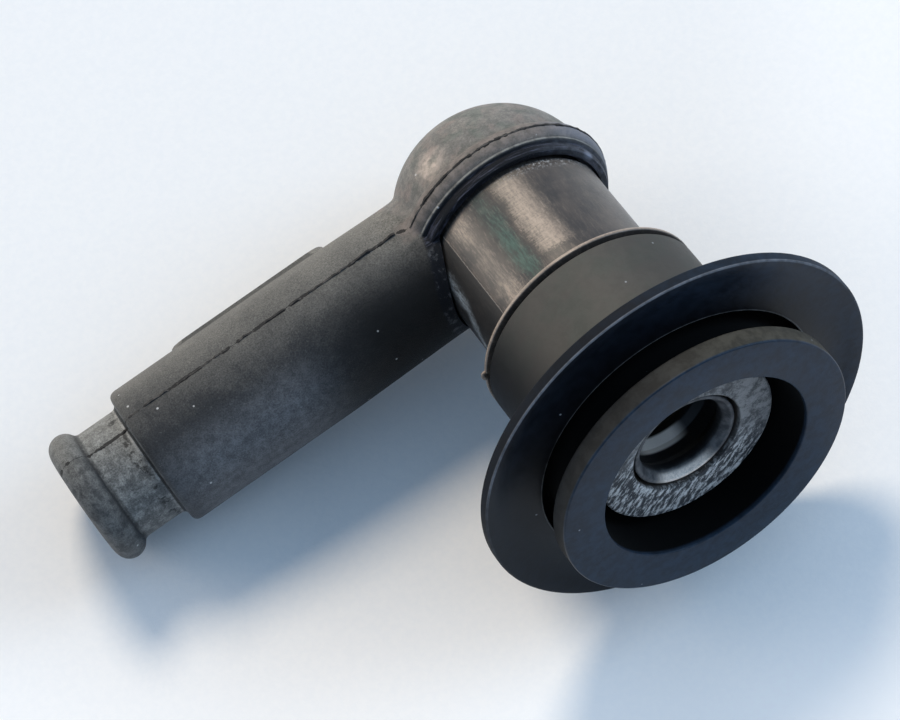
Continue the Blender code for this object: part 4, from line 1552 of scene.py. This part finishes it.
@dataclass
class Barrel:
    """Phenolic barrel with its head, flange, stepped bore and lead spigot."""

    radius: float = 11.2
    head_radius: float = 10.6
    head_shoulder: float = 3.8
    flange_radius: float = 13.9
    flange_depth: float = 19.6
    flange_thickness: float = 0.5
    flare: float = 1.8
    end: float = 40.3
    end_round: float = 0.35
    edge_round: float = 0.14
    sleeve_bore: float = 6.9
    sleeve_top: float = 29.7
    terminal_bore: float = 5.3
    ledge_depth: float = 18.5
    chamber_bore: float = 3.4
    chamber_top: float = 2.9
    spigot_radius: float = 6.0
    spigot_reach: float = 26.0
    spigot_round: float = 0.5
    lead_bore: float = 3.6
    lead_stop: float = 8.5
    screw_way: float = 1.6
    line_angle: float = 45.2
    line_width: float = 0.14
    line_bevel: float = 0.03
    nub_angle: float = 14.9
    nub_radius: float = 0.5
    nub_shape: tuple[float, float, float] = (1.0, 1.5, 0.68)
    sharp_turn: float = 32

    def body(self) -> Thing:
        """Turn the barrel's form.

        Returns:
            The form, without its spigot.
        """
        fine = self.edge_round
        face = self.flange_depth + self.flange_thickness
        flared = self.radius + self.flare
        outline = arc((0.0, 0.0), self.head_radius, 90, 0, 20)
        outline[0] = (0.0, self.head_radius)
        outline += [(self.head_radius, -self.head_shoulder), (self.radius, -self.head_shoulder)]
        outline += arc((flared, self.flare - self.flange_depth), self.flare, 180, 262, 12)
        outline += rounded([
            (flared, -self.flange_depth, 0.0), (self.flange_radius, -self.flange_depth, fine),
            (self.flange_radius, -face, fine), (self.radius, -face, 0.0),
        ], steps=4)
        outline += rounded([
            (self.radius, -face - 0.2, 0.0), (self.radius, -self.end, self.end_round),
            (self.sleeve_bore, -self.end, fine), (self.sleeve_bore, -self.sleeve_top, 0.0),
        ], steps=4)
        outline += [
            (self.terminal_bore, -self.sleeve_top), (self.terminal_bore, -self.ledge_depth),
            (self.chamber_bore, -self.ledge_depth), (self.chamber_bore, self.chamber_top),
            (0.0, self.chamber_top),
        ]
        return Bench.turned("barrel_moulding", outline, 144)

    def parting_ridge(self) -> Thing:
        """Model the fine ridge that the mould left along the barrel.

        Returns:
            The ridge.
        """
        Bench.clear()
        top = -self.head_shoulder
        foot = self.flare - self.flange_depth
        width = self.line_width * MM
        bpy.ops.mesh.primitive_cube_add(
            size=1,
            location=(self.radius * MM, 0, (top + foot) / 2 * MM),
            scale=(width, width, (top - foot) * MM),
        )
        ridge = Bench.started("parting_ridge")
        Bench.edit(ridge, "EDGE")
        bpy.ops.mesh.select_all(action="SELECT")
        bpy.ops.mesh.bevel(offset=self.line_bevel * MM, segments=2)
        bpy.ops.object.mode_set(mode="OBJECT")
        ridge.rotation_euler = (0, 0, math.radians(self.line_angle))
        Bench.settle()
        return ridge

    def nub(self) -> Thing:
        """Model the small stub left on the flange's edge.

        Returns:
            The stub.
        """
        Bench.clear()
        angle = math.radians(self.nub_angle)
        reach = self.flange_radius * MM
        depth = -(self.flange_depth + self.flange_thickness / 2) * MM
        bpy.ops.mesh.primitive_uv_sphere_add(
            segments=24,
            ring_count=14,
            radius=self.nub_radius * MM,
            location=(reach * math.cos(angle), reach * math.sin(angle), depth),
            scale=self.nub_shape,
        )
        return Bench.started("nub")

    def build(self, axes: CapAxes) -> Thing:
        """Model the barrel and give it its finish.

        Args:
            axes: Where the cap's axes lie.

        Returns:
            The finished piece.
        """
        body = self.body()
        root = (self.chamber_bore + self.head_radius) / 2
        spigot = rounded([
            (0.0, root, 0.0), (self.spigot_radius, root, 0.0),
            (self.spigot_radius, self.spigot_reach, self.spigot_round),
            (0.0, self.spigot_reach, 0.0),
        ])
        Bench.combine(body, Cut.JOIN, Bench.turned("spigot", spigot, 96, Axis.ARM))
        end = self.spigot_reach + 2
        ways = (("lead_bore", self.lead_bore, self.lead_stop, 64),
                ("screw_way", self.screw_way, 0.0, 48))
        for name, radius, start, segments in ways:
            way = [(0.0, start), (radius, start), (radius, end), (0.0, end)]
            Bench.combine(body, Cut.REMOVE, Bench.turned(name, way, segments, Axis.ARM))
        Bench.combine(body, Cut.JOIN, self.nub())
        Bench.combine(body, Cut.JOIN, self.parting_ridge())
        Bench.lay_down(body, axes, Phenolic().material(axes), self.sharp_turn)
        return body


@dataclass
class PlugSeal:
    """Rubber seal: sleeve on the barrel, dished disc, groove, and lip round the plug."""

    grip: float = 11.5
    top: float = 20.75
    sleeve_radius: float = 13.9
    face: float = 44.4
    lip_radius: float = 18.2
    lip_thickness: float = 2.6
    mouth_radius: float = 13.0
    cavity_depth: float = 8.6
    neck_radius: float = 15.5
    disc_radius: float = 24.5
    disc_thickness: float = 1.4
    disc_setback: float = 6.6
    disc_dish: float = 0.5
    dish_facets: int = 10
    disc_inner: float = 17.4
    recess_depth: float = 2.4
    web: float = 1.6
    sharp_turn: float = 40

    def profile(self) -> list[Point]:
        """Draw the seal's section, with every edge rounded.

        Returns:
            The section's points as radius and height.
        """
        disc = -self.face + self.disc_setback
        rim = self.disc_thickness / 2
        front = disc - rim
        recess = front + self.recess_depth
        back = recess + self.web
        lip_back = -self.face + self.lip_thickness
        ceiling = -self.face + self.cavity_depth
        corners = [
            (self.grip, -self.top, 0.3), (self.sleeve_radius, -self.top, 0.25),
            (self.sleeve_radius, back + self.web, 1.0),
            (self.sleeve_radius + self.web / 2, back, 0.8), (self.disc_inner, back, 1.2),
            (self.disc_radius, disc + rim, 0.35), (self.disc_radius, front, 0.20),
        ]
        for step in range(1, self.dish_facets):
            share = step / self.dish_facets
            reach = self.disc_radius - rim + (self.disc_inner - self.disc_radius + rim) * share
            corners.append((reach, front + self.disc_dish * 4 * share * (1 - share), 0.0))
        corners += [
            (self.disc_inner, front, 0.12), (self.disc_inner, recess, 0.5),
            (self.neck_radius, recess, 0.4), (self.neck_radius, lip_back, 0.5),
            (self.lip_radius, lip_back, 0.35), (self.lip_radius, -self.face, 0.22),
            (self.mouth_radius, -self.face, 0.18), (self.mouth_radius, ceiling, 0.6),
            (self.grip, ceiling, 0.1),
        ]
        return rounded(corners, closed=True, steps=6)

    def build(self, axes: CapAxes) -> Thing:
        """Model the seal and give it its finish.

        Args:
            axes: Where the cap's axes lie.

        Returns:
            The finished piece.
        """
        seal = Bench.turned("plug_seal_rubber", self.profile(), 192, closed=True)
        Bench.lay_down(seal, axes, SealRubber().material(axes), self.sharp_turn)
        return seal


@dataclass
class InsulatorSleeve:
    """Ribbed rubber sleeve in the barrel's mouth."""

    outer: float = 6.6
    valley: float = 6.0
    rib: float = 5.3
    top: float = 30.0
    bottom: float = 39.9
    undercut: float = 0.14
    ribs: int = 2
    sharp_turn: float = 40

    def build(self, axes: CapAxes) -> Thing:
        """Model the sleeve and give it its finish.

        Args:
            axes: Where the cap's axes lie.

        Returns:
            The finished piece.
        """
        pitch = (self.bottom - self.top) / self.ribs
        slope = pitch / 5
        slim = self.outer - self.undercut
        corners: list[Corner] = [
            (self.valley, -self.top, 0.1), (self.outer, -self.top, 0.1),
            (self.outer, 1.4 - self.bottom, 0.2), (slim, 1.0 - self.bottom, 0.2),
            (slim, -self.bottom, 0.2),
        ]
        for index in range(self.ribs):
            mouth = -self.bottom + index * pitch
            corners += [
                (self.valley, mouth, 0.25), (self.rib, mouth + slope, 0.5),
                (self.rib, mouth + 2 * slope, 0.5), (self.valley, mouth + 3 * slope, 0.5),
            ]
        profile = rounded(corners, closed=True, steps=6)
        sleeve = Bench.turned("insulator_sleeve_rubber", profile, 128, closed=True)
        Bench.lay_down(sleeve, axes, SleeveRubber().material(axes), self.sharp_turn)
        return sleeve


@dataclass
class InnerStack:
    """The metal, ceramic and fibre pieces inside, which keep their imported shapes."""

    finishes: dict[str, Finish] = field(default_factory=lambda: {
        "plug_terminal": InnerMetal("brass_turned", MetalKind.BRASS),
        "elbow_contact": InnerMetal("brass_contact", MetalKind.BRASS),
        "lead_screw": InnerMetal("brass_screw", MetalKind.BRASS),
        "terminal_clip": InnerMetal("clip_wire", MetalKind.SPRING_STEEL),
        "contact_spring": InnerMetal("spring_wire", MetalKind.SPRING_STEEL),
        "resistor_cap_upper": InnerMetal("tin_cap_upper", MetalKind.TIN_PLATE),
        "resistor_cap_lower": InnerMetal("tin_cap_lower", MetalKind.TIN_PLATE),
        "resistor_rod": RodCeramic(),
        "terminal_washer": WasherFibre(),
    })

    def dress(self, axes: CapAxes) -> None:
        """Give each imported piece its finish.

        Args:
            axes: Where the cap's axes lie.
        """
        for name, finish in self.finishes.items():
            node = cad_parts[name]
            node.data.materials.clear()
            node.data.materials.append(finish.material(axes))
            log.info("dressed %s", name)


@dataclass(frozen=True)
class Lamp:
    """One soft round lamp."""

    name: str
    towards: Place
    distance: float
    size: float
    power: float
    colour: Colour

    def hang(self, target: Vector) -> None:
        """Place the lamp, facing its target.

        Args:
            target: What the lamp faces.
        """
        light = bpy.data.lights.new(self.name, "AREA")
        light.shape = "DISK"
        light.size = self.size
        light.energy = self.power
        light.color = self.colour
        lamp = bpy.data.objects.new(self.name, light)
        bpy.context.scene.collection.objects.link(lamp)
        direction = Vector(self.towards).normalized()
        lamp.location = target + direction * self.distance
        lamp.rotation_euler = direction.to_track_quat("Z", "Y").to_euler()


@dataclass
class Studio:
    """Pale sheet, soft lamps, even sky and the camera, in metres in the world.

    Each glow of the sheet gives the way it lies in, by x and y, where it begins and is
    full that way, and its strength.
    """

    floor_size: float = 1.6
    floor_colour: Colour = (0.90, 0.87, 0.83)
    floor_patches: Colour = (0.85, 0.85, 0.86)
    glow_colour: Colour = (1.0, 0.98, 0.96)
    near_glow: tuple[float, ...] = (0.54, 0.84, 0.012, 0.034, 0.12)
    aside_glow: tuple[float, ...] = (-0.84, 0.54, 0.025, 0.050, 0.07)
    sky: Colour = (0.48, 0.70, 1.0)
    sky_strength: float = 0.56
    camera_place: Place = (0.050072, 0.131505, 0.401852)
    camera_turn: tuple[float, float, float] = (0.35417, 0.075744, 2.572851)
    lens: float = 144.57
    sensor: float = 36
    clip_start: float = 0.01
    target: Place = (0.0, 0.0, 0.02)
    lamps: tuple[Lamp, ...] = (
        Lamp("main_lamp", (-0.146, -0.637, 0.756), 2.40, 0.78, 38.5, (1.0, 0.87, 0.69)),
        Lamp("left_panel", (0.71, -0.67, 0.26), 1.80, 0.90, 9.8, (1.0, 0.88, 0.72)),
        Lamp("blue_panel", (-0.84, 0.16, 0.50), 1.30, 0.80, 7.0, (0.56, 0.76, 1.0)),
    )

    def glow(self, g: Graph) -> Value:
        """Lift the sheet's tone where the photo shows it whiter.

        Args:
            g: The sheet's nodes.

        Returns:
            The glow's strength, for the camera and in reflections only.
        """
        coordinates = g.node("ShaderNodeTexCoord")
        x, y, _ = g.split(coordinates.outputs["Object"])
        corners = []
        for along, across, low, high, strength in (self.near_glow, self.aside_glow):
            place = g.total((x, along), (y, across))
            corners.append(g.ramp(place, low, high, 0.0, strength))
        path = g.node("ShaderNodeLightPath").outputs
        seen = g.maths("MAXIMUM", path["Is Camera Ray"], path["Is Glossy Ray"])
        return g.times(seen, g.maths("ADD", *corners))

    def floor(self, axes: CapAxes) -> Thing:
        """Lay the pale sheet that the cap lies on.

        Args:
            axes: Where the cap's axes lie.

        Returns:
            The sheet.
        """
        Bench.clear()
        bpy.ops.mesh.primitive_plane_add(size=self.floor_size, location=(0, 0, 0))
        sheet = Bench.started("floor_sheet")
        g = Graph("paper", axes)
        patches = g.noise(g.place, 0.02, 3.0, 0.5)
        g.colour = self.floor_colour
        g.coat(self.floor_patches, patches, 0.5)
        pulp = g.noise(g.place, 1.1, 4.0, 0.7)
        g.coat(grey(0.80), g.ramp(pulp, 0.3, 0.7, 0.0, 0.35))
        g.relief(pulp, 0.09, 0.35)
        g.shade(0.85, Specular_IOR_Level=0.1, Emission_Color=self.glow_colour,
                Emission_Strength=self.glow(g))
        sheet.data.materials.append(g.material)
        return sheet

    def world(self) -> None:
        """Light the scene evenly from a pale sky."""
        world = bpy.data.worlds.new("sky")
        bpy.context.scene.world = world
        world.use_nodes = True
        background = world.node_tree.nodes["Background"]
        background.inputs["Color"].default_value = (*self.sky, 1.0)
        background.inputs["Strength"].default_value = self.sky_strength

    def camera(self) -> None:
        """Place the camera at the photograph's angle."""
        data = bpy.data.cameras.new("camera")
        data.lens = self.lens
        data.sensor_width = self.sensor
        data.clip_start = self.clip_start
        camera = bpy.data.objects.new("camera", data)
        camera.location = self.camera_place
        camera.rotation_euler = self.camera_turn
        bpy.context.scene.collection.objects.link(camera)
        bpy.context.scene.camera = camera

    def build(self, axes: CapAxes) -> None:
        """Set the stage.

        Args:
            axes: Where the cap's axes lie.
        """
        self.floor(axes)
        self.world()
        for lamp in self.lamps:
            lamp.hang(Vector(self.target))
        self.camera()
        bpy.context.scene.view_settings.view_transform = "Standard"


def main() -> None:
    """Build the looks of the cap, piece by piece."""
    axes = CapAxes()
    Studio().build(axes)
    log.info("built the stage")
    shape = ElbowJacket()
    pieces = (
        (shape.build(axes), "elbow_jacket", "jacket_rubber"),
        (Barrel().build(axes), "barrel_body", "phenolic"),
        (PlugSeal().build(axes), "plug_seal", "seal_rubber"),
        (InsulatorSleeve().build(axes), "insulator_sleeve", "sleeve_rubber"),
    )
    for piece, node, slot in pieces:
        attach(piece, "root")
        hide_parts(node)
        log.info("built %s, %d faces", piece.name, len(piece.data.polygons))
    flash = MouldFlash(shape).build(axes)
    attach(flash, "root")
    log.info("built %s, %d faces", flash.name, len(flash.data.polygons))
    InnerStack().dress(axes)


if __name__ == "__main__":
    main()
